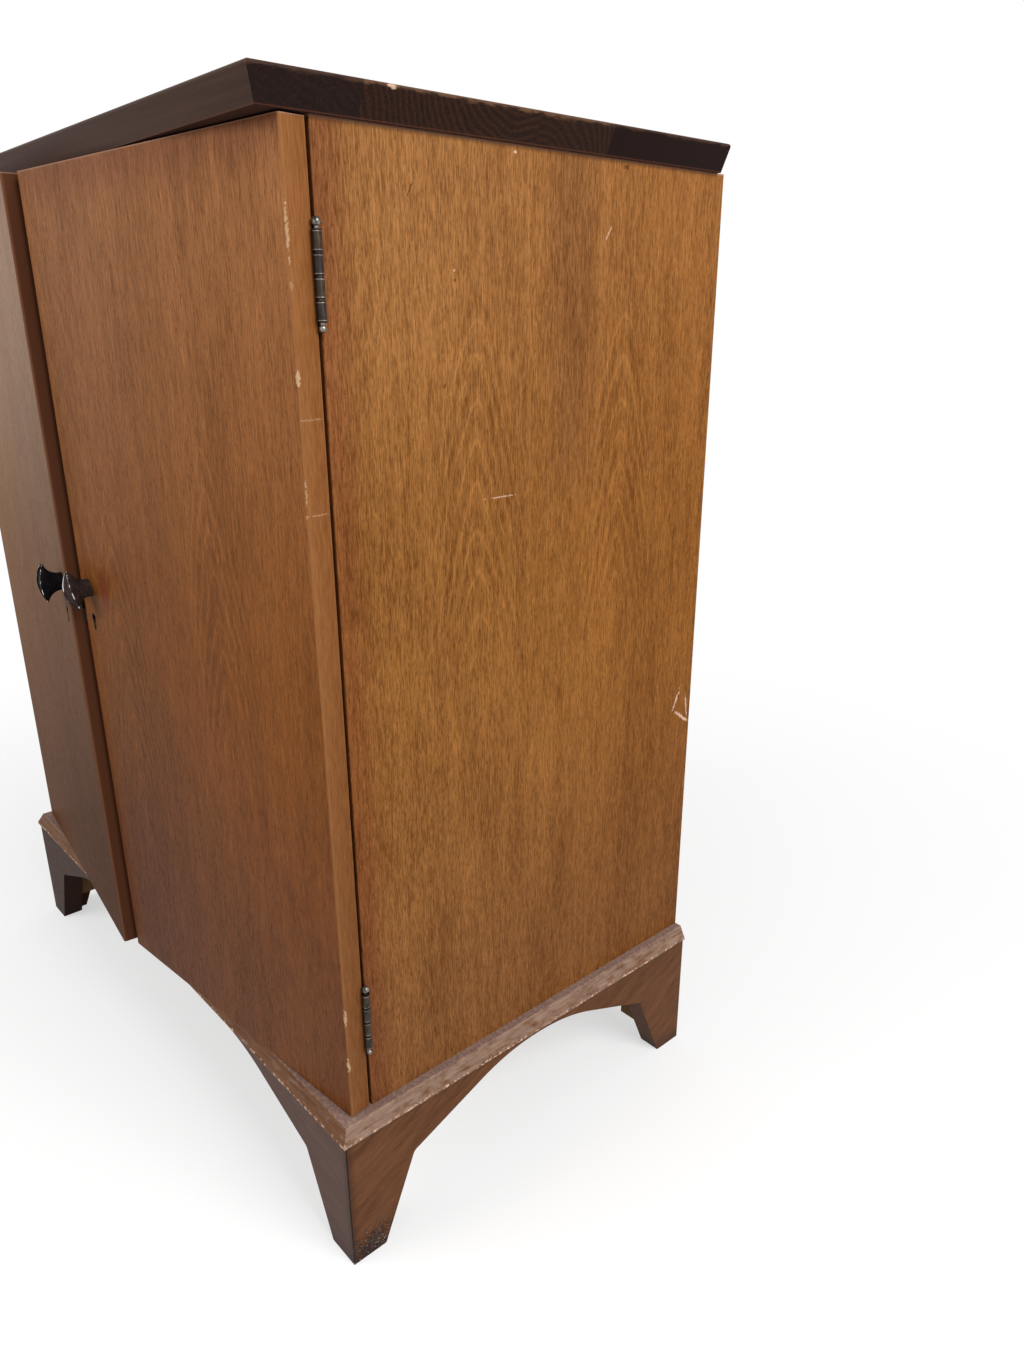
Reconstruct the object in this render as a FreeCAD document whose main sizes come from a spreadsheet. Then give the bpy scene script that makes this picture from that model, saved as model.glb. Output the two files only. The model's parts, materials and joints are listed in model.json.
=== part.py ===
import FreeCAD, Part
import math
import os
import Sketcher
from FreeCAD import Placement, Rotation, Vector

# A two-door cellarette: a veneered case under an overhanging top of four edge-jointed boards,
# standing on a separate base of mitred bracket feet with a bevelled moulding round its upper edge.
# Each door hangs on two ball-tipped butt hinges, stands a little open, and closes over the front
# edges of the case. The right door carries a lock, the left door two sliding bolts.
#
# All sizes are in mm. While it is drawn, x = 0 is the middle of the case, y = 0 the plane of the
# case's front edges with y growing to the back, z = 0 the floor, and both doors are shut.

DIMENSIONS = [
    # case
    ("case_width", 734, "over the outer faces of the side panels"),
    ("case_depth", 405, "front edges of the sides to the back"),
    ("case_height", 746, "side panels, from base to underside of top"),
    ("side_panel", 19, "thickness of a side panel"),
    ("side_lipping", 20, "depth of the solid strip on a side's front edge"),
    ("bottom_panel", 19, "thickness of the case bottom"),
    ("rail_thickness", 19, "rails under the top"),
    ("rail_width", 60, "rails under the top, front to back"),
    ("back_panel", 6, "thickness of the back"),
    ("housing_depth", 6, "how far bottom and rails enter a side"),
    ("rabbet_depth", 9, "how far the back enters a side"),
    ("case_arris", 1, "rounding of the case's outer front corners"),
    # top
    ("top_thickness", 21, "the solid top"),
    ("top_side_overhang", 13.3, "upper edge beyond a side panel"),
    ("top_front_overhang", 24.9, "upper edge beyond the shut doors"),
    ("top_back_setback", 9, "top's back edge short of the case's back"),
    ("top_side_undercut", 9.6, "slope of the ends, top to bottom"),
    ("top_front_undercut", 8.6, "slope of the front edge, top to bottom"),
    ("top_arris", 2.2, "worn rounding of the upper edge"),
    ("front_board", 79, "width of the foremost board"),
    ("mid_front_board", 148, "width of the second board"),
    ("back_board", 141, "width of the hindmost board"),
    # base
    ("base_height", 147, "floor to the upper face of the base"),
    ("base_side_ledge", 7.5, "flat of the base beside the case"),
    ("base_front_ledge", 9.9, "flat of the base before the shut doors"),
    ("moulding_height", 16, "thickness of the moulding frame"),
    ("moulding_bevel", 7, "run of the bevel"),
    ("moulding_nose", 2.5, "rounding at the foot of the bevel"),
    ("moulding_lip", 2.5, "moulding beyond the apron"),
    ("frame_width", 58, "moulding frame, outer lip to inner edge"),
    ("apron_thickness", 24, "boards of the feet and aprons"),
    ("foot_width", 34, "foot at the floor"),
    ("foot_flare", 35, "how much wider a foot is at its top"),
    ("foot_height", 82.5, "floor to the bend between foot and arch"),
    ("crown_cover", 3, "apron left above the crown of its arch"),
    ("side_crown", 76.7, "level crown of a side arch, before rounding"),
    ("crown_sweep", 35.85, "reach of the rounding along the level crown"),
    ("arch_bend", 7, "rounding of the bend"),
    ("block_size", 22, "glue blocks in the corners"),
    ("block_clearance", 32, "floor to the underside of a glue block"),
    # inside
    ("shelf_thickness", 16, "shelf on its two cleats"),
    ("shelf_height", 560, "floor to the underside of the shelf"),
    ("shelf_setback", 30, "shelf's nose behind the case's front"),
    ("shelf_play", 1, "gap at each end and behind the shelf"),
    ("cleat_size", 15, "height and thickness of the shelf's cleats"),
    ("cleat_length", 300, "shelf's cleats, front to back"),
    ("rack_height", 110, "bottle divider"),
    ("rack_board", 9, "thickness of the divider's boards"),
    ("rack_front", 32, "divider behind the case's front"),
    ("rack_play", 1, "gap round the divider"),
    ("slot_play", 0.2, "each side of a board in its slot"),
    # doors
    ("door_thickness", 18.5, "both doors"),
    ("door_gap", 2.8, "back of a shut door to the case"),
    ("door_top_gap", 1.3, "door to the top above"),
    ("door_bottom_gap", 1.5, "door to the base below"),
    ("meeting_gap", 2, "between the shut doors"),
    ("hinge_stile", 20, "solid strip on a door's hinge edge"),
    ("lock_stile", 36, "solid strip on a door's free edge"),
    ("door_arris", 2, "rounding of a door's upright front edges"),
    ("right_ajar", 5.35, "degrees the right door stands open"),
    ("left_ajar", 6.9, "degrees the left door stands open"),
    # hinges
    ("pin_outset", 3.1, "hinge pin's axis beyond the side panel"),
    ("knuckle_radius", 3.2, "outside of the barrel"),
    ("knuckle_length", 13.3, "one knuckle"),
    ("knuckle_gap", 0.4, "between knuckles"),
    ("hinge_pin_radius", 1.6, "pin in the barrel"),
    ("pin_clearance", 0.05, "radial, pin in knuckle"),
    ("leaf_thickness", 1.3, "hinge leaf"),
    ("leaf_width", 17, "hinge leaf on the wood"),
    ("leaf_relief", 0.4, "leaf's edge to the other leaf's knuckles"),
    ("hinge_inset", 88.5, "middle of a hinge to the end of the door"),
    ("neck_height", 1.5, "pin between barrel and ball"),
    ("upper_ball_radius", 3.1, "ball at the head of a pin"),
    ("lower_ball_radius", 2.6, "ball at the foot of a pin"),
    # knobs and keyholes
    ("knob_backset", 16.5, "knob and keyhole from the door's free edge"),
    ("knob_height", 545, "floor to the knob's axis"),
    ("knob_end", 6, "width of the knob's blunt upper and lower ends"),
    ("knob_neck_side", 6, "knob where it meets the door, axis to side"),
    ("knob_neck_top", 7.8, "knob where it meets the door, axis to top"),
    ("knob_waist", 7, "door to the end of the slender first flare"),
    ("knob_waist_side", 6.5, "end of the first flare, axis to side"),
    ("knob_waist_top", 8.8, "end of the first flare, axis to top"),
    ("knob_swell", 11.8, "door to the end of the second flare"),
    ("knob_swell_side", 7.5, "end of the second flare, axis to side"),
    ("knob_swell_top", 12, "end of the second flare, axis to top"),
    ("knob_flare", 15.2, "door to the end of the last flare"),
    ("knob_mouth_side", 9.2, "rim, axis to side"),
    ("knob_mouth_top", 17.9, "rim, axis to top"),
    ("knob_rim", 1.2, "thickness of the rim at its upper and lower ends"),
    ("knob_bow", 4.6, "rise of the bowed face from its ends to its middle"),
    ("knob_border", 1.8, "width of the raised border round the face"),
    ("knob_field", 0.9, "face inside its border, sunk"),
    ("right_knob_turn", 26, "degrees the right knob has turned on its screw"),
    ("keyhole_height", 516.5, "floor to the round of the keyhole"),
    ("keyhole_radius", 2.3, "round of the keyhole"),
    ("keyhole_slot", 2.6, "width of the slot"),
    ("keyhole_drop", 12, "slot below the round's middle"),
    ("blind_keyhole", 8, "depth of the left door's blind keyhole"),
    # lock
    ("lock_width", 30, "lock case, from the door's edge"),
    ("lock_thickness", 9, "lock case, from the door's back"),
    ("lock_above", 17, "lock case above the keyhole"),
    ("lock_below", 25, "lock case below the keyhole"),
    ("selvedge", 2, "thickness of the lock's edge plate"),
    ("selvedge_reach", 5, "edge plate above and below the case"),
    ("key_pin_radius", 1.1, "pin that the key turns on"),
    ("key_pin_reach", 5.5, "key pin into the keyhole"),
    ("bolt_above_key", 8.5, "lock bolt's axis above the keyhole"),
    ("bolt_height", 10, "lock bolt"),
    ("bolt_thickness", 4.4, "lock bolt"),
    ("bolt_length", 21, "lock bolt"),
    ("bolt_throw", 6, "travel of the lock bolt"),
    ("bolt_clearance", 0.1, "round the lock bolt"),
    ("strike_length", 40, "plate in the left door's edge"),
    ("strike_width", 8, "plate in the left door's edge"),
    ("strike_thickness", 1.2, "plate in the left door's edge"),
    ("strike_play", 0.8, "round the bolt in the plate"),
    ("socket_end_play", 2, "socket or mortise beyond the end of a bolt's throw"),
    # sliding bolts on the left door
    ("slide_from_edge", 20, "bolt's axis from the door's free edge"),
    ("slide_pad", 6, "wooden pad under the bolt"),
    ("slide_plate", 1.2, "bolt's back plate"),
    ("slide_width", 14, "pad and plate"),
    ("slide_length", 60, "pad and plate"),
    ("slide_end_gap", 4, "pad to the rail or bottom"),
    ("bar_width", 6, "flat bar"),
    ("bar_thickness", 3, "flat bar"),
    ("slide_clearance", 0.1, "bar in its guides"),
    ("slide_bar", 65, "length of the bar"),
    ("slide_bar_gap", 2.5, "drawn bar to the rail or bottom"),
    ("slide_guide", 5, "length of a guide"),
    ("slide_guide_wall", 1.5, "metal round the bar"),
    ("slide_guide_pitch", 40, "between the guides"),
    ("slide_throw", 9, "travel of the bar"),
    ("slide_thumb_radius", 1.8, "thumb stud"),
    ("slide_thumb_reach", 9, "thumb stud from the bar's axis"),
    ("slide_socket_play", 0.5, "bar in its socket"),
    # stored frame
    ("origin_setback", 159.8, "origin behind the plane of the case's front"),
]


class Size:
    """A length with the spreadsheet formula that gives it."""

    def __init__(self, value, formula):
        self.value = float(value)
        self.formula = formula

    def joined(self, other, sign, value):
        return Size(value, f"({self.formula} {sign} {other.formula})")

    def __add__(self, other):
        other = as_size(other)
        return self.joined(other, "+", self.value + other.value)

    def __sub__(self, other):
        other = as_size(other)
        return self.joined(other, "-", self.value - other.value)

    def __mul__(self, other):
        other = as_size(other)
        return self.joined(other, "*", self.value * other.value)

    def __truediv__(self, other):
        other = as_size(other)
        return self.joined(other, "/", self.value / other.value)

    def __neg__(self):
        return Size(-self.value, f"(-1 * {self.formula})")


def as_size(number):
    if isinstance(number, Size):
        return number
    return Size(number, f"({number})")


def root(size):
    return Size(math.sqrt(size.value), f"sqrt({size.formula})")


# ---------------------------------------------------------------- document and driving dimensions

doc = FreeCAD.newDocument("cellarette")
sheet = doc.addObject("Spreadsheet::Sheet", "dims")
for row, (alias, number, note) in enumerate(DIMENSIONS, start=1):
    sheet.set(f"A{row}", alias)
    sheet.set(f"B{row}", str(number))
    sheet.set(f"C{row}", note)
    sheet.setAlias(f"B{row}", alias)
doc.recompute()


class Dimensions:
    """The sheet's cells as sizes, by alias."""

    def __getattr__(self, alias):
        return Size(getattr(sheet, alias), f"dims.{alias}")


d = Dimensions()
zero = as_size(0)


# ------------------------------------------------------------------------------ drawing and solids

# +1 where a plane's sketch faces along its world axis, -1 where it faces back.
PLANE_FACING = {"XY": 1, "XZ": -1, "YZ": 1}
OVERSHOOT = as_size(5)
CLOSE = 0.01


def new_body(label):
    body = doc.addObject("PartDesign::Body", label)
    body.Label = label
    body.AllowCompound = True
    return body


def rectangle(u0, v0, u1, v1):
    return [(u0, v0), (u1, v0), (u1, v1), (u0, v1)]


def circle(u, v, radius):
    return ("circle", as_size(u), as_size(v), as_size(radius))


def arc_between(start, end, radius):
    """Shorter arc between two points: it bulges right of the way for a positive radius."""
    chord = end - start
    half_chord = chord.Length / 2
    rightward = Vector(chord.y, -chord.x, 0).normalize()
    bulge = abs(radius) - math.sqrt(max(radius * radius - half_chord * half_chord, 0))
    through = (start + end) * 0.5 + rightward * math.copysign(bulge, radius)
    return Part.Arc(start, through, end)


def trace(sketch, loop):
    """Adds one closed loop of lines and arcs, or a circle, each point bound to its formulas.

    A corner is (u, v), or (u, v, radius) when the edge that leaves it is an arc.
    """
    constraints = []
    formulas = []

    def bind(kind, *where):
        *places, size = where
        constraints.append(Sketcher.Constraint(kind, *places, size.value))
        formulas.append(size.formula)

    first = sketch.GeometryCount
    if loop[0] == "circle":
        _, u, v, radius = loop
        centre = Vector(u.value, v.value, 0)
        sketch.addGeometry(Part.Circle(centre, Vector(0, 0, 1), radius.value))
        bind("DistanceX", -1, 1, first, 3, u)
        bind("DistanceY", -1, 1, first, 3, v)
        bind("Radius", first, radius)
        joins = []
    else:
        corners = [tuple(as_size(item) for item in corner) for corner in loop]
        points = [Vector(corner[0].value, corner[1].value, 0) for corner in corners]
        ends = []
        for index, corner in enumerate(corners):
            start, end = points[index], points[(index + 1) % len(points)]
            if len(corner) == 2:
                sketch.addGeometry(Part.LineSegment(start, end))
                ends.append((1, 2))
            else:
                sketch.addGeometry(arc_between(start, end, corner[2].value))
                ends.append((1, 2) if corner[2].value > 0 else (2, 1))
        joins = []
        for index, corner in enumerate(corners):
            geometry = first + index
            before = first + (index - 1) % len(corners)
            joins.append(
                Sketcher.Constraint("Coincident", before, ends[index - 1][1], geometry, ends[index][0])
            )
            bind("DistanceX", -1, 1, geometry, ends[index][0], corner[0])
            bind("DistanceY", -1, 1, geometry, ends[index][0], corner[1])
            if len(corner) == 3:
                bent = corner[2] if corner[2].value > 0 else -corner[2]
                bind("Radius", geometry, bent)
    if joins:
        sketch.addConstraint(joins)
    offset = sketch.ConstraintCount
    sketch.addConstraint(constraints)
    for index, formula in enumerate(formulas):
        sketch.setExpression(f"Constraints[{offset + index}]", formula)


def draw(body, plane, height, loops, shift=(zero, zero)):
    """A sketch on a plane of the body's own origin, at a height along its world axis."""
    sketch = body.newObject("Sketcher::SketchObject", f"{body.Label}_outline")
    own_plane = next(item for item in body.Origin.OriginFeatures if item.Role == f"{plane}_Plane")
    sketch.AttachmentSupport = [(own_plane, "")]
    sketch.MapMode = "FlatFace"
    lift = height * PLANE_FACING[plane]
    sketch.AttachmentOffset = Placement(
        Vector(shift[0].value, shift[1].value, lift.value), Rotation()
    )
    sketch.setExpression("AttachmentOffset.Base.x", shift[0].formula)
    sketch.setExpression("AttachmentOffset.Base.y", shift[1].formula)
    sketch.setExpression("AttachmentOffset.Base.z", lift.formula)
    for loop in loops:
        trace(sketch, loop)
    return sketch


def bind_size(feature, name, size):
    setattr(feature, name, size.value)
    feature.setExpression(name, size.formula)


def pad(body, plane, low, high, *loops):
    """Solid of the loops between two heights along the plane's world axis."""
    low, high = as_size(low), as_size(high)
    sketch = draw(body, plane, low if PLANE_FACING[plane] > 0 else high, loops)
    feature = body.newObject("PartDesign::Pad", f"{body.Label}_pad")
    feature.Profile = sketch
    bind_size(feature, "Length", high - low)
    doc.recompute()


def cut(body, plane, low, high, *loops):
    """Pocket of the loops between two heights along the plane's world axis."""
    low, high = as_size(low), as_size(high)
    before = body.Shape.Volume
    sketch = draw(body, plane, high if PLANE_FACING[plane] > 0 else low, loops)
    feature = body.newObject("PartDesign::Pocket", f"{body.Label}_pocket")
    feature.Profile = sketch
    bind_size(feature, "Length", high - low)
    doc.recompute()
    if body.Shape.Volume >= before - CLOSE:
        raise ValueError(f"{feature.Label} of {body.Label} removes nothing")


def turn(body, centre, profile):
    """Turns a profile of (radius, height[, bend]) about the upright line through centre."""
    x, y, z = centre
    sketch = draw(body, "XZ", y, [profile], (x, z))
    feature = body.newObject("PartDesign::Revolution", f"{body.Label}_turned")
    feature.Profile = sketch
    feature.ReferenceAxis = (sketch, ["V_Axis"])
    feature.Angle = 360
    doc.recompute()


def loft(body, plane, levels):
    """Solid through a row of (height, outline) sections, ruled from each to the next."""
    sketches = [draw(body, plane, height, [outline]) for height, outline in levels]
    feature = body.newObject("PartDesign::AdditiveLoft", f"{body.Label}_loft")
    feature.Profile = sketches[0]
    feature.Sections = sketches[1:]
    feature.Ruled = True
    doc.recompute()


def round_edges(body, radius, chosen):
    """Fillets the edges of the body that the test accepts."""
    base = body.Tip
    names = [
        f"Edge{index}" for index, edge in enumerate(base.Shape.Edges, start=1) if chosen(edge)
    ]
    if not names:
        raise ValueError(f"no edge of {body.Label} to round")
    feature = body.newObject("PartDesign::Fillet", f"{body.Label}_rounding")
    feature.Base = (base, names)
    bind_size(feature, "Radius", radius)
    doc.recompute()


def runs_along(edge, axis):
    """True for a straight edge parallel to a world axis."""
    if edge.Curve.TypeId != "Part::GeomLine":
        return False
    return abs(edge.Curve.Direction.dot(axis)) > 1 - CLOSE * CLOSE


def at(value, size):
    return abs(value - size.value) < CLOSE


def between(side, near, far):
    """Two distances from the middle as low and high x on the given side."""
    return (near, far) if side > 0 else (-far, -near)


X_AXIS, Y_AXIS, Z_AXIS = Vector(1, 0, 0), Vector(0, 1, 0), Vector(0, 0, 1)
SIDES = (("right", 1), ("left", -1))
CELLS_ACROSS, CELLS_DEEP = 6, 3
KNUCKLES = 4
CASE_KNUCKLES, DOOR_KNUCKLES = (1, 3), (0, 2)


# --------------------------------------------------------------------------------- shared places

half_width = d.case_width / 2
inner_half = half_width - d.side_panel
housed_half = inner_half + d.housing_depth
back_face = d.case_depth - d.back_panel
case_top = d.base_height + d.case_height
bottom_top = d.base_height + d.bottom_panel
rail_under = case_top - d.rail_thickness

door_back = -d.door_gap
door_front = door_back - d.door_thickness
door_low = d.base_height + d.door_bottom_gap
door_high = case_top - d.door_top_gap
door_edge = d.meeting_gap / 2

pin_x = half_width + d.pin_outset
pin_y = -d.door_gap / 2
half_barrel = (d.knuckle_length * KNUCKLES + d.knuckle_gap * (KNUCKLES - 1)) / 2
hinge_heights = (door_low + d.hinge_inset, door_high - d.hinge_inset)
knob_x = door_edge + d.knob_backset

lip_x = half_width + d.base_side_ledge + d.moulding_bevel
lip_y = door_front - d.base_front_ledge - d.moulding_bevel
moulding_under = d.base_height - d.moulding_height
apron_x = lip_x - d.moulding_lip
apron_y = lip_y + d.moulding_lip
apron_inner_x = apron_x - d.apron_thickness
apron_inner_y = apron_y + d.apron_thickness

lock_bolt_y = door_back - d.lock_thickness / 2
lock_bolt_z = d.keyhole_height + d.bolt_above_key

slide_x = -door_edge - d.slide_from_edge
slide_face = door_back + d.slide_pad + d.slide_plate
bar_low_y = slide_face + d.slide_clearance
bar_high_y = bar_low_y + d.bar_thickness
bar_left = slide_x - d.bar_width / 2
bar_right = slide_x + d.bar_width / 2

parts = {}


def keep(body, carrier, own_turn=Placement()):
    """Files a finished body under what carries it, the case or a door, with its turn on that."""
    parts[body.Label] = (body, carrier, own_turn)


# ------------------------------------------------------------------------------------------- top

top_z = case_top + d.top_thickness
top_x = half_width + d.top_side_overhang
top_front = door_front - d.top_front_overhang
top_back = d.case_depth - d.top_back_setback
seams = (
    top_front,
    top_front + d.front_board,
    top_front + d.front_board + d.mid_front_board,
    top_back - d.back_board,
    top_back,
)


def make_top_board(label, front, back, undercut):
    """One board of the top, right across, its ends sloping in underneath."""
    body = new_body(label)
    section = [(front + undercut, case_top), (back, case_top), (back, top_z), (front, top_z)]
    pad(body, "YZ", -top_x, top_x, section)
    slopes = [
        [
            (top_x * side, top_z),
            ((top_x + OVERSHOOT) * side, top_z),
            ((top_x + OVERSHOOT) * side, case_top),
            ((top_x - d.top_side_undercut) * side, case_top),
        ]
        for _, side in SIDES
    ]
    cut(body, "XZ", front, back, *slopes)

    def upper_outer_edge(edge):
        middle = edge.CenterOfMass
        if not at(middle.z, top_z):
            return False
        at_end = runs_along(edge, Y_AXIS) and at(abs(middle.x), top_x)
        at_front = runs_along(edge, X_AXIS) and at(middle.y, top_front)
        at_back = runs_along(edge, X_AXIS) and at(middle.y, top_back)
        return at_end or at_front or at_back

    round_edges(body, d.top_arris, upper_outer_edge)
    keep(body, "case")


make_top_board("front_top_board", seams[0], seams[1], d.top_front_undercut)
make_top_board("mid_front_top_board", seams[1], seams[2], zero)
make_top_board("mid_back_top_board", seams[2], seams[3], zero)
make_top_board("back_top_board", seams[3], seams[4], zero)


# ------------------------------------------------------------------------------------------- case


def make_side_panel(hand, side):
    """Side of the case behind its front strip, housed for bottom and rails, rabbeted for the back."""
    panel = new_body(f"{hand}_side_panel")
    low_x, high_x = between(side, inner_half, half_width)
    outline = rectangle(low_x, d.side_lipping, high_x, d.case_depth)
    pad(panel, "XY", d.base_height, case_top, outline)
    low_x, high_x = between(side, inner_half, housed_half)
    bottom_housing = rectangle(low_x, d.side_lipping, high_x, back_face)
    cut(panel, "XY", d.base_height, bottom_top, bottom_housing)
    front_housing = rectangle(low_x, d.side_lipping, high_x, d.rail_width)
    back_housing = rectangle(low_x, back_face - d.rail_width, high_x, back_face)
    cut(panel, "XY", rail_under, case_top, front_housing, back_housing)
    low_x, high_x = between(side, inner_half, inner_half + d.rabbet_depth)
    rabbet = rectangle(low_x, back_face, high_x, d.case_depth)
    cut(panel, "XY", d.base_height, case_top, rabbet)
    keep(panel, "case")


def make_side_lipping(hand, side):
    """Solid strip on the front edge of a side, which takes the hinges."""
    lipping = new_body(f"{hand}_side_lipping")
    outline = [
        (inner_half * side, zero),
        ((half_width - d.case_arris) * side, zero, d.case_arris * side),
        (half_width * side, d.case_arris),
        (half_width * side, d.side_lipping),
        (inner_half * side, d.side_lipping),
    ]
    pad(lipping, "XY", d.base_height, case_top, outline)
    keep(lipping, "case")


for hand, side in SIDES:
    make_side_panel(hand, side)
    make_side_lipping(hand, side)


def housed_outline(back):
    """Plan of a board that runs between the lippings and is housed in the sides behind them."""
    return [
        (-inner_half, zero),
        (inner_half, zero),
        (inner_half, d.side_lipping),
        (housed_half, d.side_lipping),
        (housed_half, back),
        (-housed_half, back),
        (-housed_half, d.side_lipping),
        (-inner_half, d.side_lipping),
    ]


play = d.slide_socket_play
bar_socket = rectangle(bar_left - play, bar_low_y - play, bar_right + play, bar_high_y + play)
socket_depth = d.slide_throw + d.socket_end_play

case_bottom = new_body("case_bottom")
pad(case_bottom, "XY", d.base_height, bottom_top, housed_outline(back_face))
cut(case_bottom, "XY", bottom_top - socket_depth, bottom_top, bar_socket)
keep(case_bottom, "case")

front_rail = new_body("front_top_rail")
pad(front_rail, "XY", rail_under, case_top, housed_outline(d.rail_width))
cut(front_rail, "XY", rail_under, rail_under + socket_depth, bar_socket)
keep(front_rail, "case")

back_rail = new_body("back_top_rail")
rail_outline = rectangle(-housed_half, back_face - d.rail_width, housed_half, back_face)
pad(back_rail, "XY", rail_under, case_top, rail_outline)
keep(back_rail, "case")

back_panel = new_body("back_panel")
back_half = inner_half + d.rabbet_depth
back_outline = rectangle(-back_half, d.base_height, back_half, case_top)
pad(back_panel, "XZ", back_face, d.case_depth, back_outline)
keep(back_panel, "case")


# ----------------------------------------------------------------------------------------- inside

shelf = new_body("shelf")
shelf_end = inner_half - d.shelf_play
shelf_top = d.shelf_height + d.shelf_thickness
nose = d.shelf_thickness / 2
shelf_section = [
    (d.shelf_setback + nose, d.shelf_height),
    (back_face - d.shelf_play, d.shelf_height),
    (back_face - d.shelf_play, shelf_top),
    (d.shelf_setback + nose, shelf_top, nose),
    (d.shelf_setback, d.shelf_height + nose, nose),
]
pad(shelf, "YZ", -shelf_end, shelf_end, shelf_section)
keep(shelf, "case")

cleats = new_body("shelf_cleats")
cleat_back = back_face - d.shelf_play
cleat_plans = [
    rectangle(inner_half * side, cleat_back - d.cleat_length, (inner_half - d.cleat_size) * side, cleat_back)
    for _, side in SIDES
]
pad(cleats, "XY", d.shelf_height - d.cleat_size, d.shelf_height, *cleat_plans)
keep(cleats, "case")

rack_top = bottom_top + d.rack_height
rack_half = inner_half - d.rack_play
rack_back = back_face - d.rack_play
cell_width = inner_half * 2 / CELLS_ACROSS
row_depth = (rack_back - d.rack_front) / CELLS_DEEP
cross_places = [cell_width * index - inner_half for index in range(1, CELLS_ACROSS)]
long_places = [d.rack_front + row_depth * index for index in range(1, CELLS_DEEP)]
half_board = d.rack_board / 2
half_slot = half_board + d.slot_play
half_lap = bottom_top + d.rack_height / 2

long_boards = new_body("divider_long_boards")
long_plans = [
    rectangle(-rack_half, along - half_board, rack_half, along + half_board)
    for along in long_places
]
pad(long_boards, "XY", bottom_top, rack_top, *long_plans)
long_slots = [
    rectangle(across - half_slot, half_lap - d.slot_play, across + half_slot, rack_top)
    for across in cross_places
]
cut(long_boards, "XZ", d.rack_front, rack_back, *long_slots)
keep(long_boards, "case")

cross_boards = new_body("divider_cross_boards")
cross_plans = [
    rectangle(across - half_board, d.rack_front, across + half_board, rack_back)
    for across in cross_places
]
pad(cross_boards, "XY", bottom_top, rack_top, *cross_plans)
cross_slots = [
    rectangle(along - half_slot, bottom_top, along + half_slot, half_lap + d.slot_play)
    for along in long_places
]
cut(cross_boards, "YZ", -rack_half, rack_half, *cross_slots)
keep(cross_boards, "case")


# ------------------------------------------------------------------------------------------- base

frame_inner_x = lip_x - d.frame_width
frame_inner_y = lip_y + d.frame_width
frame_corner = ((lip_x, lip_y), (frame_inner_x, frame_inner_y))
apron_corner = ((apron_x, apron_y), (apron_inner_x, apron_inner_y))
crown = moulding_under - d.crown_cover


def moulding_section(lip, inner, sense):
    """Section of the moulding frame: lip and inner edge across, sense +1 where inner is greater."""
    return [
        (inner, moulding_under),
        (lip + d.moulding_nose * sense, moulding_under, d.moulding_nose * -sense),
        (lip, moulding_under + d.moulding_nose),
        (lip + d.moulding_bevel * sense, d.base_height),
        (inner, d.base_height),
    ]


def mitre(outer, inner, side, keeps_front):
    """Plan of the waste beyond a front corner's joint, from its outer to its inner end."""
    (outer_x, outer_y), (inner_x, inner_y) = outer, inner
    ends = [(outer_x * side, outer_y), (inner_x * side, inner_y)]
    if keeps_front:
        far_x = (outer_x + OVERSHOOT) * side
        return ends + [(far_x, inner_y), (far_x, outer_y)]
    ahead = outer_y - OVERSHOOT
    return ends + [(inner_x * side, ahead), (outer_x * side, ahead)]


front_moulding = new_body("front_moulding")
pad(front_moulding, "YZ", -lip_x, lip_x, moulding_section(lip_y, frame_inner_y, 1))
front_waste = [mitre(*frame_corner, side, keeps_front=True) for _, side in SIDES]
cut(front_moulding, "XY", moulding_under, d.base_height, *front_waste)
keep(front_moulding, "case")

for hand, side in SIDES:
    moulding = new_body(f"{hand}_moulding")
    section = moulding_section(lip_x * side, frame_inner_x * side, -side)
    pad(moulding, "XZ", lip_y, d.case_depth, section)
    waste = mitre(*frame_corner, side, keeps_front=False)
    cut(moulding, "XY", moulding_under, d.base_height, waste)
    keep(moulding, "case")

frame_rail = new_body("base_back_rail")
rail_outline = rectangle(
    -frame_inner_x, d.case_depth - d.frame_width, frame_inner_x, d.case_depth
)
pad(frame_rail, "XY", moulding_under, d.base_height, rail_outline)
keep(frame_rail, "case")


foot_top = d.foot_width + d.foot_flare
arch_rise = crown - d.foot_height
arch_run = (d.case_depth - apron_y - foot_top * 2 - d.side_crown) / 2
arch_slope = root(arch_rise * arch_rise + arch_run * arch_run)
crown_radius = d.crown_sweep * arch_rise / (arch_slope - arch_run)


def foot_board_outline(low, high):
    """Board with a tapered foot at each end and a low arch between them."""
    foot_low, foot_high = low + d.foot_width, high - d.foot_width
    bend_low, bend_high = low + foot_top, high - foot_top
    return [
        (low, zero),
        (foot_low, zero),
        (bend_low, d.foot_height),
        (bend_low + arch_run, crown),
        (bend_high - arch_run, crown),
        (bend_high, d.foot_height),
        (foot_high, zero),
        (high, zero),
        (high, moulding_under),
        (low, moulding_under),
    ]


def round_arch(body, thickness_axis):
    """Rounds the bends of a foot board and sweeps its slopes into the crown."""

    def bend(edge):
        return runs_along(edge, thickness_axis) and at(edge.CenterOfMass.z, d.foot_height)

    def shoulder(edge):
        return runs_along(edge, thickness_axis) and at(edge.CenterOfMass.z, crown)

    round_edges(body, d.arch_bend, bend)
    round_edges(body, crown_radius, shoulder)


front_apron = new_body("front_apron")
pad(front_apron, "XZ", apron_y, apron_inner_y, foot_board_outline(-apron_x, apron_x))
round_arch(front_apron, Y_AXIS)
front_waste = [mitre(*apron_corner, side, keeps_front=True) for _, side in SIDES]
cut(front_apron, "XY", zero, moulding_under, *front_waste)
keep(front_apron, "case")

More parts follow.
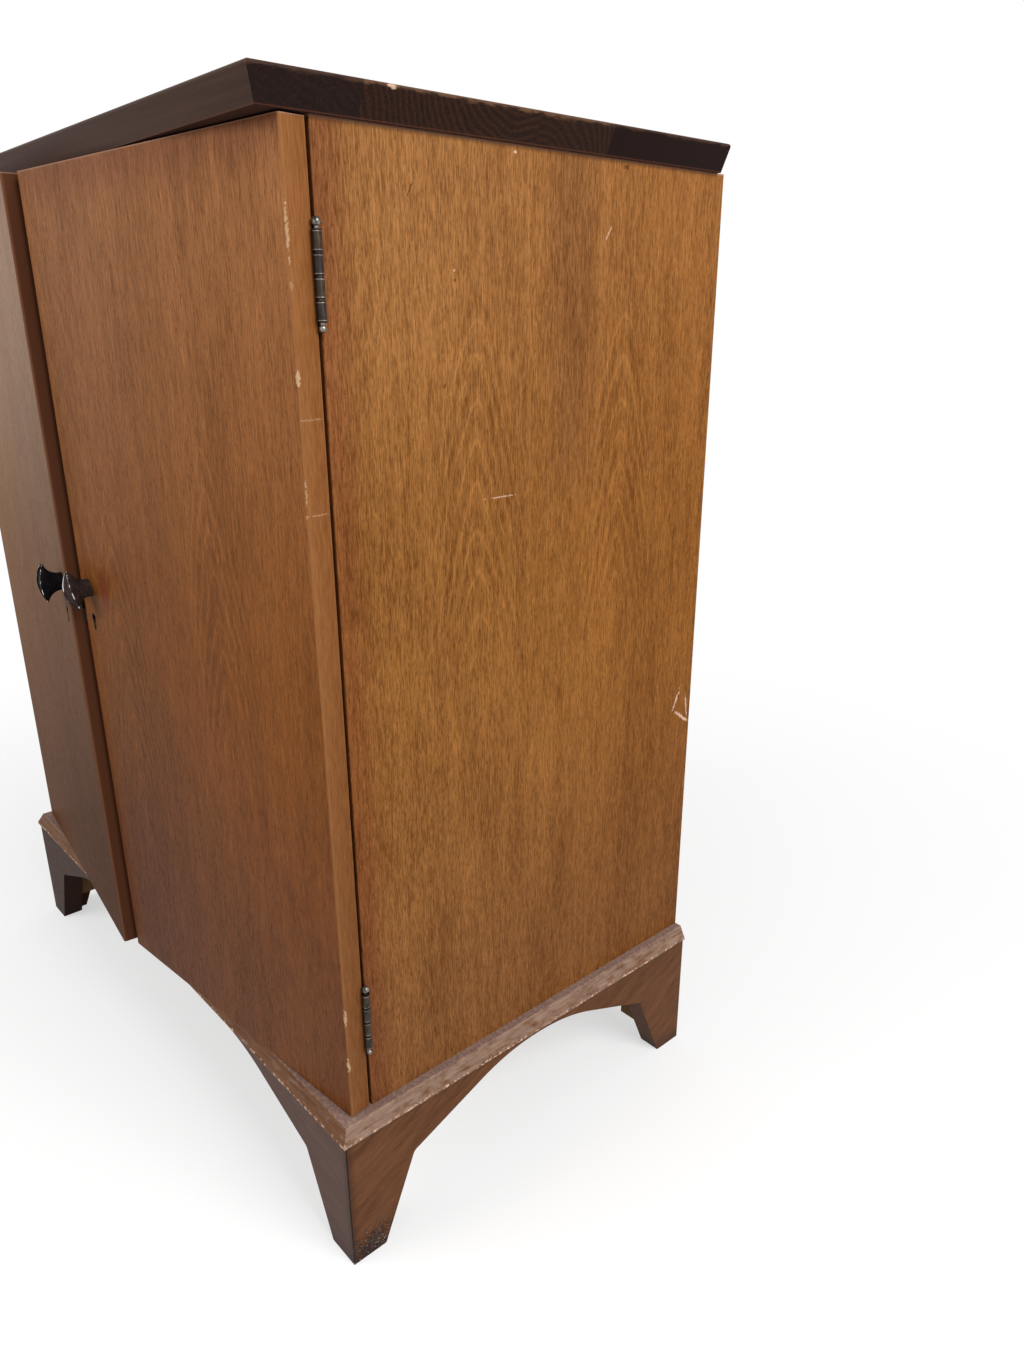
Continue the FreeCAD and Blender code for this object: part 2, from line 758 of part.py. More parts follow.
for hand, side in SIDES:
    apron = new_body(f"{hand}_apron")
    low_x, high_x = between(side, apron_inner_x, apron_x)
    pad(apron, "YZ", low_x, high_x, foot_board_outline(apron_y, d.case_depth))
    round_arch(apron, X_AXIS)
    waste = mitre(*apron_corner, side, keeps_front=False)
    cut(apron, "XY", zero, moulding_under, waste)
    keep(apron, "case")

back_apron = new_body("back_apron")
back_apron_outline = rectangle(-apron_inner_x, d.foot_height, apron_inner_x, moulding_under)
back_apron_front = d.case_depth - d.apron_thickness
pad(back_apron, "XZ", back_apron_front, d.case_depth, back_apron_outline)
keep(back_apron, "case")

blocks = new_body("corner_blocks")
block_rows = (
    (apron_inner_y, apron_inner_y + d.block_size),
    (back_apron_front - d.block_size, back_apron_front),
)
block_plans = [
    rectangle(apron_inner_x * side, front, (apron_inner_x - d.block_size) * side, back)
    for _, side in SIDES
    for front, back in block_rows
]
pad(blocks, "XY", d.block_clearance, moulding_under, *block_plans)
keep(blocks, "case")


# ------------------------------------------------------------------------------------------- doors


def make_door_boards(hand, side, free_stile_name):
    """A door's veneered board and the solid strips on its hinge edge and its free edge."""
    board = new_body(f"{hand}_door_panel")
    low_x, high_x = between(side, door_edge + d.lock_stile, half_width - d.hinge_stile)
    pad(board, "XY", door_low, door_high, rectangle(low_x, door_front, high_x, door_back))
    keep(board, f"{hand}_door")

    hinge_stile = new_body(f"{hand}_door_hinge_stile")
    outline = [
        ((half_width - d.hinge_stile) * side, door_front),
        ((half_width - d.door_arris) * side, door_front, d.door_arris * side),
        (half_width * side, door_front + d.door_arris),
        (half_width * side, door_back),
        ((half_width - d.hinge_stile) * side, door_back),
    ]
    pad(hinge_stile, "XY", door_low, door_high, outline)
    keep(hinge_stile, f"{hand}_door")

    free_stile = new_body(free_stile_name)
    outline = [
        ((door_edge + d.lock_stile) * side, door_front),
        ((door_edge + d.door_arris) * side, door_front, d.door_arris * -side),
        (door_edge * side, door_front + d.door_arris),
        (door_edge * side, door_back),
        ((door_edge + d.lock_stile) * side, door_back),
    ]
    pad(free_stile, "XY", door_low, door_high, outline)
    keep(free_stile, f"{hand}_door")
    return free_stile


def cut_keyhole(stile, side, depth):
    """Round and slot of a keyhole, sunk from the door's front."""
    middle = knob_x * side
    half = d.keyhole_slot / 2
    low, high = d.keyhole_height - d.keyhole_drop, d.keyhole_height
    cut(stile, "XZ", door_front, door_front + depth, circle(middle, high, d.keyhole_radius))
    slot = rectangle(middle - half, low, middle + half, high)
    cut(stile, "XZ", door_front, door_front + depth, slot)


def knob_outline(side, across, up, inset=zero):
    """Upright oval round a knob's axis, with bowed sides and blunt ends, less an inset all round."""
    middle, half_end = knob_x * side, d.knob_end / 2
    reach, bulge = up - inset, across - inset - half_end
    bend = (reach * reach + bulge * bulge) / (bulge * 2)
    low, high = d.knob_height - reach, d.knob_height + reach
    return [
        (middle - half_end, low),
        (middle + half_end, low, bend),
        (middle + half_end, high),
        (middle - half_end, high, bend),
    ]


def bow_face(knob, ends):
    """Cuts a knob's front to an upright arc that bows out from the level of its ends."""
    bend = (d.knob_mouth_top * d.knob_mouth_top + d.knob_bow * d.knob_bow) / (d.knob_bow * 2)
    low, high = d.knob_height - d.knob_mouth_top, d.knob_height + d.knob_mouth_top
    ahead = ends - d.knob_bow - OVERSHOOT
    beyond = [(ends, high), (ends, high + OVERSHOOT), (ahead, high + OVERSHOOT)]
    beyond += [(ahead, low - OVERSHOOT), (ends, low - OVERSHOOT)]
    reach = knob_x + d.knob_mouth_side
    cut(knob, "YZ", -reach, reach, [(ends, low, -bend)] + beyond)


def make_knob(hand, side):
    """Fan-shaped knob: a slender neck flares to an upright oval rim with a bowed, sunk face."""
    knob = new_body(f"{hand}_door_knob")
    mouth = knob_outline(side, d.knob_mouth_side, d.knob_mouth_top)
    levels = [
        (door_front, knob_outline(side, d.knob_neck_side, d.knob_neck_top)),
        (door_front - d.knob_waist, knob_outline(side, d.knob_waist_side, d.knob_waist_top)),
        (door_front - d.knob_swell, knob_outline(side, d.knob_swell_side, d.knob_swell_top)),
        (door_front - d.knob_flare, mouth),
    ]
    loft(knob, "XZ", levels)
    ends = door_front - d.knob_flare - d.knob_rim
    face = ends - d.knob_bow
    pad(knob, "XZ", face, door_front - d.knob_flare, mouth)
    bow_face(knob, ends + d.knob_field)
    field = knob_outline(side, d.knob_mouth_side, d.knob_mouth_top, d.knob_border)
    pad(knob, "XZ", face, door_front - d.knob_flare, mouth, field)
    bow_face(knob, ends)
    turned = -d.right_knob_turn.value if side > 0 else 0
    axis = Vector(knob_x.value * side, 0, d.knob_height.value)
    keep(knob, f"{hand}_door", Placement(Vector(), Rotation(Y_AXIS, turned), axis))


lock_stile = make_door_boards("right", 1, "right_door_lock_stile")
meeting_stile = make_door_boards("left", -1, "left_door_meeting_stile")
make_knob("right", 1)
make_knob("left", -1)


# -------------------------------------------------------------------------------------------- lock

lock_low = d.keyhole_height - d.lock_below
lock_high = d.keyhole_height + d.lock_above
lock_front = door_back - d.lock_thickness
case_outline = rectangle(door_edge, lock_low, door_edge + d.lock_width, lock_high)
selvedge_outline = rectangle(
    door_edge, lock_low - d.selvedge_reach, door_edge + d.selvedge, lock_high + d.selvedge_reach
)
cut(lock_stile, "XZ", lock_front, door_back, case_outline)
cut(lock_stile, "XZ", lock_front, door_back, selvedge_outline)
cut_keyhole(lock_stile, 1, d.door_thickness - d.lock_thickness)
cut_keyhole(meeting_stile, -1, d.blind_keyhole)


def bolt_section(room):
    """Section of the lock bolt with some room all round."""
    half_thick = d.bolt_thickness / 2 + room
    half_high = d.bolt_height / 2 + room
    return rectangle(
        lock_bolt_y - half_thick, lock_bolt_z - half_high,
        lock_bolt_y + half_thick, lock_bolt_z + half_high,
    )


lock_case = new_body("lock_case")
pad(lock_case, "XZ", lock_front, door_back, case_outline)
pad(lock_case, "XZ", lock_front, door_back, selvedge_outline)
key_pin = circle(knob_x, d.keyhole_height, d.key_pin_radius)
pad(lock_case, "XZ", lock_front - d.key_pin_reach, lock_front, key_pin)
channel_end = door_edge + d.bolt_length + d.bolt_clearance * 2
cut(lock_case, "YZ", door_edge, channel_end, bolt_section(d.bolt_clearance))
keep(lock_case, "right_door")

lock_bolt = new_body("lock_bolt")
bolt_tip = door_edge + d.bolt_clearance
pad(lock_bolt, "YZ", bolt_tip, bolt_tip + d.bolt_length, bolt_section(zero))
keep(lock_bolt, "right_door")

strike_outline = rectangle(
    lock_bolt_y - d.strike_width / 2, lock_bolt_z - d.strike_length / 2,
    lock_bolt_y + d.strike_width / 2, lock_bolt_z + d.strike_length / 2,
)
mouth = bolt_section(d.strike_play)
strike_back = -door_edge - d.strike_thickness
mortise_end = -door_edge - d.bolt_throw - d.socket_end_play
cut(meeting_stile, "YZ", strike_back, -door_edge, strike_outline)
cut(meeting_stile, "YZ", mortise_end, -door_edge, mouth)

strike_plate = new_body("strike_plate")
pad(strike_plate, "YZ", strike_back, -door_edge, strike_outline)
cut(strike_plate, "YZ", strike_back, -door_edge, mouth)
keep(strike_plate, "left_door")


# ----------------------------------------------------------------------- left door's sliding bolts


def slide_levels(stop, sense):
    """Levels of a bolt that shoots along sense to a stop: plate, drawn bar and middle."""
    near, far = stop - d.slide_end_gap * sense, stop - (d.slide_end_gap + d.slide_length) * sense
    tip = stop - d.slide_bar_gap * sense
    tail = tip - d.slide_bar * sense
    plate, bar = ((far, near), (tail, tip)) if sense > 0 else ((near, far), (tip, tail))
    return plate, bar, (near + far) / 2


upper_levels = slide_levels(rail_under, 1)
lower_levels = slide_levels(bottom_top, -1)
plate_left = slide_x - d.slide_width / 2
plate_right = slide_x + d.slide_width / 2
guide_top_y = bar_high_y + d.slide_clearance + d.slide_guide_wall

pads = new_body("bolt_pads")
pad_plans = [
    rectangle(plate_left, low, plate_right, high)
    for (low, high), _, _ in (lower_levels, upper_levels)
]
pad(pads, "XZ", door_back, door_back + d.slide_pad, *pad_plans)
keep(pads, "left_door")

guides = new_body("bolt_guides")
pad(guides, "XZ", slide_face - d.slide_plate, slide_face, *pad_plans)
for (plate_low, plate_high), _, middle in (lower_levels, upper_levels):
    for sense in (-1, 1):
        guide_middle = middle + d.slide_guide_pitch / 2 * sense
        guide_low, guide_high = guide_middle - d.slide_guide / 2, guide_middle + d.slide_guide / 2
        wall = d.slide_clearance + d.slide_guide_wall
        staple = rectangle(bar_left - wall, slide_face, bar_right + wall, guide_top_y)
        pad(guides, "XY", guide_low, guide_high, staple)
    room = d.slide_clearance
    channel = rectangle(bar_left - room, slide_face, bar_right + room, bar_high_y + room)
    cut(guides, "XY", plate_low, plate_high, channel)
keep(guides, "left_door")

for name, (_, bar_levels, middle) in (("upper_bolt", upper_levels), ("lower_bolt", lower_levels)):
    bar = new_body(name)
    pad(bar, "XY", *bar_levels, rectangle(bar_left, bar_low_y, bar_right, bar_high_y))
    stud = circle(slide_x, middle, d.slide_thumb_radius)
    pad(bar, "XZ", bar_high_y, bar_high_y + d.slide_thumb_reach, stud)
    keep(bar, "left_door")


# ----------------------------------------------------------------------------------------- hinges


def knuckle_levels(middle, index):
    """Lowest and highest level of a knuckle, counted from the top of the barrel."""
    high = middle + half_barrel - (d.knuckle_length + d.knuckle_gap) * index
    return high - d.knuckle_length, high


def leaf_outline(side, middle, own_knuckles):
    """Leaf with fingers that reach its own knuckles and recesses round the other leaf's."""
    root_x = (half_width - d.leaf_width) * side
    finger = (pin_x - d.hinge_pin_radius - d.pin_clearance - d.leaf_thickness / 2) * side
    recess = (pin_x - d.knuckle_radius - d.leaf_relief) * side
    edge = []
    for index in range(KNUCKLES):
        low, high = knuckle_levels(middle, index)
        if index in own_knuckles:
            edge += [(finger, high), (finger, low)]
        else:
            recess_high = high if index == 0 else high + d.knuckle_gap
            recess_low = low if index == KNUCKLES - 1 else low - d.knuckle_gap
            edge += [(recess, recess_high), (recess, recess_low)]
    return [(root_x, middle - half_barrel), (root_x, middle + half_barrel)] + edge


def make_leaves(label, side, own_knuckles, low_y, carrier):
    """The upper and lower leaf on one door, or on its side of the case."""
    leaves = new_body(label)
    for middle in hinge_heights:
        outline = leaf_outline(side, middle, own_knuckles)
        pad(leaves, "XZ", low_y, low_y + d.leaf_thickness, outline)
        for index in own_knuckles:
            low, high = knuckle_levels(middle, index)
            pad(leaves, "XY", low, high, circle(pin_x * side, pin_y, d.knuckle_radius))
        bore = circle(pin_x * side, pin_y, d.hinge_pin_radius + d.pin_clearance)
        cut(leaves, "XY", middle - half_barrel, middle + half_barrel, bore)
    keep(leaves, carrier)


def pin_profile():
    """Half section of a hinge pin about the middle of its barrel, with a ball at each end."""
    shaft = d.hinge_pin_radius
    shaft_end = half_barrel + d.neck_height
    upper, lower = d.upper_ball_radius, d.lower_ball_radius
    upper_tip = shaft_end + upper + root(upper * upper - shaft * shaft)
    lower_tip = shaft_end + lower + root(lower * lower - shaft * shaft)
    return [
        (zero, -lower_tip, lower),
        (shaft, -shaft_end),
        (shaft, shaft_end, upper),
        (zero, upper_tip),
    ]


for hand, side in SIDES:
    make_leaves(f"{hand}_hinge_case_leaves", side, CASE_KNUCKLES, -d.leaf_thickness, "case")
    make_leaves(f"{hand}_hinge_door_leaves", side, DOOR_KNUCKLES, door_back, f"{hand}_door")
    pins = new_body(f"{hand}_hinge_pins")
    for middle in hinge_heights:
        turn(pins, (pin_x * side, pin_y, middle), pin_profile())
    keep(pins, "case")


# --------------------------------------------------------------------------- placing and exporting

to_origin = Placement(Vector(0, -d.origin_setback.value, 0), Rotation())


def swing(side, degrees):
    """A door's turn about its hinge pins."""
    pin = Vector(pin_x.value * side, pin_y.value, 0)
    return Placement(Vector(), Rotation(Z_AXIS, degrees), pin)


carriers = {
    "case": to_origin,
    "right_door": to_origin * swing(1, d.right_ajar.value),
    "left_door": to_origin * swing(-1, -d.left_ajar.value),
}
for body, carrier, own_turn in parts.values():
    body.Placement = carriers[carrier] * own_turn
doc.recompute()

for item in doc.Objects:
    if "Invalid" in item.State or "Error" in item.State:
        raise ValueError(f"{item.Label} did not build: {item.State}")
for label, (body, _, _) in parts.items():
    if body.Shape.isNull() or not body.Shape.isValid():
        raise ValueError(f"{label} is not a valid solid")

os.makedirs("parts", exist_ok=True)
for label, (body, _, _) in parts.items():
    body.Shape.exportStep(os.path.join("parts", f"{label}.step"))
    print(f"{label}: {len(body.Shape.Solids)} solids, {body.Shape.Volume:.1f} mm3")
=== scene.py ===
import json
import math

import bmesh
import bpy
from mathutils import Matrix, Vector


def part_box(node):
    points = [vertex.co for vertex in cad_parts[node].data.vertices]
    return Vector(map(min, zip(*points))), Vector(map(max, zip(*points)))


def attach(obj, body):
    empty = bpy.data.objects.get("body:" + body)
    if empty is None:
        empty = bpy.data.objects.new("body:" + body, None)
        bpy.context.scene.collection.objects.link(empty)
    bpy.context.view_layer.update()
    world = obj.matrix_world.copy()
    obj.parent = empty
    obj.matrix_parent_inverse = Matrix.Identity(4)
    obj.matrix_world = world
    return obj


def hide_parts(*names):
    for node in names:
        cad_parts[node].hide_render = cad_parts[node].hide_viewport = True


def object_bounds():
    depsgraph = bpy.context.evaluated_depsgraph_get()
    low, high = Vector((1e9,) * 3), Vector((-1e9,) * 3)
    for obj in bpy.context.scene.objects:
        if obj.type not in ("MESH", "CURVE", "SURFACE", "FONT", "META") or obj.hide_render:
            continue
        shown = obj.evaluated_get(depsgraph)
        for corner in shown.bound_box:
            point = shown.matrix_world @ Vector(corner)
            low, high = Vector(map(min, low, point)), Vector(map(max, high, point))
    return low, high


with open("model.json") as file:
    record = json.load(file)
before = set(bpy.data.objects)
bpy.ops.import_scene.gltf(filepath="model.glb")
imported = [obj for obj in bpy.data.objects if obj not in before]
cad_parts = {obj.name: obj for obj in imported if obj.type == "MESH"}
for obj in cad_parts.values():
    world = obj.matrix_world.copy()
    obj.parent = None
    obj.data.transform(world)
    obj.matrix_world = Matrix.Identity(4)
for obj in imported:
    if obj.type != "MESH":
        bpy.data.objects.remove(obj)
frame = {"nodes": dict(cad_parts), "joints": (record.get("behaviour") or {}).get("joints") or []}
cad_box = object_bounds()
nodes = frame["nodes"]


# ------------------------------------------------------------------------------------ the top
# Four edge-jointed walnut boards, stained almost black. Their end grain shows on both ends, and
# years of wiping have worn the arrises back to red-brown wood, most on the two middle boards.

def start_finish(name):
    """A new finish, with its node tree and its shader."""
    finish = bpy.data.materials.new(name)
    finish.use_nodes = True
    return finish, finish.node_tree, finish.node_tree.nodes["Principled BSDF"]


def add(tree, kind, feeds=(), **settings):
    """A node with its settings, and each of its inputs set to a value or linked to an output."""
    node = tree.nodes.new(kind)
    for name, setting in settings.items():
        setattr(node, name, setting)
    for name, feed in dict(feeds).items():
        if isinstance(feed, bpy.types.NodeSocket):
            tree.links.new(feed, node.inputs[name])
        else:
            node.inputs[name].default_value = feed
    return node


def work_out(tree, operation, first, second=0.0):
    """The outcome of one sum on a value, or on two."""
    return add(tree, "ShaderNodeMath", {0: first, 1: second}, operation=operation).outputs[0]


def total(tree, *values):
    """The values added up."""
    result = values[0]
    for value in values[1:]:
        result = work_out(tree, "ADD", result, value)
    return result


def product(tree, *values):
    """The values multiplied together."""
    result = values[0]
    for value in values[1:]:
        result = work_out(tree, "MULTIPLY", result, value)
    return result


def fade(tree, value, low, high, start=0.0, end=1.0):
    """Goes smoothly from start to end as the value goes from low to high."""
    feeds = {"Value": value, "From Min": low, "From Max": high, "To Min": start, "To Max": end}
    ramp = add(tree, "ShaderNodeMapRange", feeds, interpolation_type="SMOOTHSTEP")
    return ramp.outputs["Result"]


THIN_CLOUD, THICK_CLOUD = 0.3, 0.7


def spread(tree, noise, start=0.0, end=1.0):
    """Goes from start to end over the middle of some clouds' range, where most of them lies."""
    return fade(tree, noise, THIN_CLOUD, THICK_CLOUD, start, end)


def mix(tree, share, first, second, way="MIX"):
    """The first colour, with a share of it turned into the second."""
    feeds = {0: share, 6: first, 7: second}
    return add(tree, "ShaderNodeMix", feeds, data_type="RGBA", blend_type=way).outputs[2]


def darken(tree, share, colour, by):
    """The colour, with a share of it multiplied by another."""
    return mix(tree, share, colour, by, "MULTIPLY")


def seen_from(tree, place=(0, 0, 0), size=(1, 1, 1), turn=(0, 0, 0), spot=None):
    """The piece's own coordinates, counted from a place, turned and divided by a size."""
    if spot is None:
        spot = add(tree, "ShaderNodeTexCoord").outputs["Object"]
    feeds = {"Vector": spot, "Location": place, "Rotation": turn, "Scale": size}
    return add(tree, "ShaderNodeMapping", feeds, vector_type="TEXTURE").outputs[0]


def clouds(tree, spot, detail=2.0, roughness=0.5, twist=0.0):
    """Soft uneven noise, about as coarse as the size that its spot was divided by."""
    feeds = {"Vector": spot, "Scale": 1.0, "Detail": detail, "Roughness": roughness, "Distortion": twist}
    return add(tree, "ShaderNodeTexNoise", feeds).outputs["Fac"]


def distance(tree, spot):
    """How far a spot is from where its coordinates are counted."""
    return add(tree, "ShaderNodeVectorMath", {0: spot}, operation="LENGTH").outputs["Value"]


def part_of(tree, spot, axis):
    """One of a spot's three coordinates."""
    return add(tree, "ShaderNodeSeparateXYZ", {0: spot}).outputs[axis]


def raise_grain(tree, shader, height, depth):
    """Lets light catch the grain, which is depth metres deep."""
    bump = add(tree, "ShaderNodeBump", {"Height": height, "Distance": depth, "Strength": 1.0})
    tree.links.new(bump.outputs["Normal"], shader.inputs["Normal"])


WOOD_GLOSS = 0.04


def polish(tree, shader, colour, roughness, grain, depth, gloss=WOOD_GLOSS):
    """Gives a piece of wood its colour and roughness, its raised grain and its slight gloss."""
    tree.links.new(colour, shader.inputs["Base Color"])
    tree.links.new(roughness, shader.inputs["Roughness"])
    raise_grain(tree, shader, grain, depth)
    shader.inputs["Specular IOR Level"].default_value = gloss


def lay_on(finish, *names):
    """Gives a finish to the material slots of CAD nodes."""
    for name in names:
        for slot in nodes[name].material_slots:
            slot.material = finish


X, Y, Z = 0, 1, 2
TOP_SURFACE = cad_box[1].z
TOP_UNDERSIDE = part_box("front_top_board")[0].z
END_BELOW_ARRIS = 0.0012
TOP_END = cad_box[1].x - END_BELOW_ARRIS
FRONT_END = (0.040, 0.0205, 0.0180, 1)
RINGED_END = (0.058, 0.0245, 0.0145, 1)
BACK_END = (0.020, 0.0060, 0.0050, 1)
END_DARK = (0.0125, 0.0070, 0.0060, 1)
LONG_DARK, LONG_LIGHT = (0.044, 0.022, 0.016, 1), (0.080, 0.043, 0.031, 1)
TOP_WORN = (0.130, 0.064, 0.034, 1)
TOP_RED = (0.110, 0.040, 0.021, 1)
CREAM_CHIP = (0.55, 0.36, 0.24, 1)
CREAM_CHIP_PLACE = (TOP_END, -0.1059, TOP_SURFACE - 0.001)
CREAM_CHIP_SIZE = (0.003, 0.0045, 0.0022)
RING_SWAY, RAGGED_WEAR = (0.5, 0.045, 0.045), (0.012, 0.016, 0.004)
TOP_FIBRE, TOP_STREAK = (0.05, 0.0010, 0.0010), (0.22, 0.006, 0.006)
ENDLESS = 1000


def finish_top_board(name, end_tint, pith, ring, contrast, wear):
    """A dark board whose growth rings lie round a pith line that runs along X."""
    finish, tree, shader = start_finish(f"{name}_finish")
    spot = seen_from(tree)
    fibre = clouds(tree, seen_from(tree, size=TOP_FIBRE), 4.0, 0.65)
    sway = clouds(tree, seen_from(tree, size=RING_SWAY), 3.0, 0.5)
    radius = distance(tree, seen_from(tree, place=(0, *pith), size=(ENDLESS, 1, 1)))
    radius = total(tree, radius, product(tree, sway, ring * 3.0))
    wave = work_out(tree, "SINE", product(tree, radius, math.tau / ring))
    rings = fade(tree, wave, -0.6, 1.0, 0.0, contrast)
    light = total(tree, fade(tree, fibre, 0.3, 0.75, 0.0, 0.55), rings)
    end_grain = mix(tree, light, END_DARK, end_tint)
    streak = clouds(tree, seen_from(tree, size=TOP_STREAK), 3.0)
    light = total(tree, spread(tree, fibre, 0.0, 0.5), spread(tree, streak, 0.0, 0.5))
    long_grain = mix(tree, light, LONG_DARK, LONG_LIGHT)
    facing = part_of(tree, add(tree, "ShaderNodeTexCoord").outputs["Normal"], X)
    at_end = fade(tree, work_out(tree, "ABSOLUTE", facing), 0.45, 0.75)
    colour = mix(tree, at_end, long_grain, end_grain)
    height = part_of(tree, spot, Z)
    out = work_out(tree, "ABSOLUTE", part_of(tree, spot, X))
    ragged = clouds(tree, seen_from(tree, size=RAGGED_WEAR), 4.0, 0.7)
    edge = total(tree, height, spread(tree, ragged, -0.0016, 0.0016))
    upper = fade(tree, edge, TOP_SURFACE - 0.0034, TOP_SURFACE - 0.0012, 0.0, wear)
    upper = product(tree, upper, fade(tree, out, TOP_END - 0.0040, TOP_END - 0.0016))
    colour = mix(tree, upper, colour, TOP_WORN)
    chip = distance(tree, seen_from(tree, CREAM_CHIP_PLACE, CREAM_CHIP_SIZE))
    chip = fade(tree, total(tree, chip, spread(tree, ragged, -0.5, 0.5)), 1.0, 0.7)
    colour = mix(tree, chip, colour, CREAM_CHIP)
    lower = fade(tree, height, TOP_UNDERSIDE + 0.0013, TOP_UNDERSIDE + 0.0005, 0.0, 0.6)
    lower = product(tree, lower, fade(tree, height, TOP_UNDERSIDE + 0.0001, TOP_UNDERSIDE + 0.0003))
    colour = mix(tree, lower, colour, TOP_RED)
    polish(tree, shader, colour, fade(tree, fibre, 0.2, 0.8, 0.38, 0.54), fibre, 0.00012)
    lay_on(finish, name)


for board in (
    # name, tint of its end, where its pith lies across and up, width and contrast of a ring, wear
    ("front_top_board", FRONT_END, (-0.230, 0.74), 0.0050, 0.10, 0.30),
    ("mid_front_top_board", RINGED_END, (0.0016, 0.955), 0.0044, 0.30, 0.85),
    ("mid_back_top_board", RINGED_END, (0.0216, 0.860), 0.0050, 0.26, 0.75),
    ("back_top_board", BACK_END, (0.260, 0.66), 0.0050, 0.10, 0.30),
):
    finish_top_board(*board)


# ------------------------------------------------------------------------------- the case's sides
# Each side is a board faced with walnut veneer under a golden-brown lacquer, its grain upright,
# with a faint cathedral figure. A strip of the same wood covers its front edge.

VENEER_DARK = (0.137, 0.047, 0.0100, 1)
VENEER_LIGHT = (0.474, 0.213, 0.070, 1)
PALE_CHIP = (0.66, 0.43, 0.31, 1)
DARK_SPOT = (0.060, 0.022, 0.010, 1)
ARCH_RINGS, ARCH_STEEPNESS, ARCH_SWAY, ARCH_STRENGTH = 0.032, 16.0, 0.05, 0.22
ARCH_HALF_WIDTH, ARCH_CORE = 0.052, 0.030
ARCH_TAIL, ARCH_FULL = 0.32, 0.20


def veneer(tree, spot, across, arches, dark, light, fibre_length):
    """Upright veneer: fibre, pores, tone and cathedral lines. Gives its colour and its pores."""
    def grain(width, length, detail, roughness=0.6):
        return clouds(tree, seen_from(tree, size=(width, width, length), spot=spot), detail, roughness)

    fibre, pores = grain(0.0011, fibre_length, 3.0, 0.7), grain(0.0007, 0.0050, 2.0)
    streak, tone, sway = grain(0.0055, 0.10, 3.0), grain(0.035, 0.18, 3.0), grain(0.05, 0.12, 2.0)
    share = total(
        tree, fade(tree, fibre, 0.28, 0.72, 0.0, 0.62), spread(tree, streak, 0.0, 0.16),
        spread(tree, tone, 0.0, 0.22),
    )
    up, along = part_of(tree, spot, Z), part_of(tree, spot, across)
    for centre, apex in arches:
        beside = work_out(tree, "ABSOLUTE", work_out(tree, "SUBTRACT", along, centre))
        slope = total(tree, up, product(tree, work_out(tree, "POWER", beside, 1.5), ARCH_STEEPNESS))
        rings = total(tree, slope, product(tree, sway, ARCH_SWAY))
        wave = work_out(tree, "SINE", product(tree, rings, math.tau / ARCH_RINGS))
        lines = total(tree, fade(tree, wave, 0.80, 1.0), fade(tree, wave, -0.2, -1.0, 0.0, -0.45))
        window = product(
            tree, fade(tree, beside, ARCH_HALF_WIDTH, ARCH_CORE), fade(tree, slope, apex + 0.008, apex),
            fade(tree, up, apex - ARCH_TAIL, apex - ARCH_FULL),
        )
        share = total(tree, share, product(tree, lines, window, ARCH_STRENGTH))
    colour = mix(tree, share, dark, light)
    return darken(tree, fade(tree, pores, 0.54, 0.66, 0.0, 0.42), colour, dark), pores


def mark(tree, spot, place, size, turn=(0, 0, 0), ragged=0.5):
    """Share of a ragged oval mark: size is its half-lengths along its own axes."""
    oval = seen_from(tree, place, size, turn, spot)
    torn = clouds(tree, seen_from(tree, size=(0.0022, 0.0022, 0.0035), spot=spot), 3.0, 0.7)
    torn = spread(tree, torn, -ragged, ragged)
    return fade(tree, total(tree, distance(tree, oval), torn), 1.0, 0.72)


SIDE_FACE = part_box("right_side_panel")[1].x
CASE_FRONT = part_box("right_side_lipping")[0].y
SIDE_ARCHES = ((-0.0328, 0.797), (0.1262, 0.792))
SIDE_FIBRE_LENGTH = 0.0115
SIDE_PAINTED_SHADE = (
    # painted shade, darker towards the foot and the back; for each, the axis along which it changes,
    # from where to where, what it multiplies the colour by
    (Z, 0.90, 0.58, (0.88, 0.83, 0.66, 1)),
    (Z, 0.52, 0.16, (0.79, 0.79, 1.0, 1)),
    (Y, -0.12, 0.24, (0.90, 0.83, 0.70, 1)),
)
DULL_BAND = (0.84, 0.83, 0.92, 1)
FRONT_STRIP_AND_SHADE = (0.76, 0.64, 0.72, 1)
UNDER_TOP_HIGHLIGHT = (0.50, 0.27, 0.19, 1)
SIDE_MARKS = (
    # metres back from the case's front and up from the floor, half-length, half-width, lean
    (0.0730, 0.8580, 0.0062, 0.0007, 1.05, DARK_SPOT, 0.75),
    (0.1495, 0.6485, 0.0150, 0.0006, 0.0, PALE_CHIP, 0.62),
    (0.2645, 0.8410, 0.0066, 0.0009, 1.0, PALE_CHIP, 0.60),
    (0.1660, 0.8880, 0.0012, 0.0010, 0.0, PALE_CHIP, 0.90),
    (0.2830, 0.8880, 0.0026, 0.0020, 0.0, DARK_SPOT, 0.70),
    (0.1094, 0.8035, 0.0013, 0.0012, 0.0, DARK_SPOT, 0.80),
    (0.1090, 0.8100, 0.0010, 0.0010, 0.0, PALE_CHIP, 0.70),
    (0.0980, 0.7330, 0.0010, 0.0016, 0.0, DARK_SPOT, 0.60),
    (0.3825, 0.4190, 0.0125, 0.0016, 1.15, PALE_CHIP, 0.95),
    (0.3930, 0.3980, 0.0150, 0.0017, 2.47, PALE_CHIP, 0.95),
    (0.3990, 0.4090, 0.0100, 0.0012, 1.75, PALE_CHIP, 0.80),
)


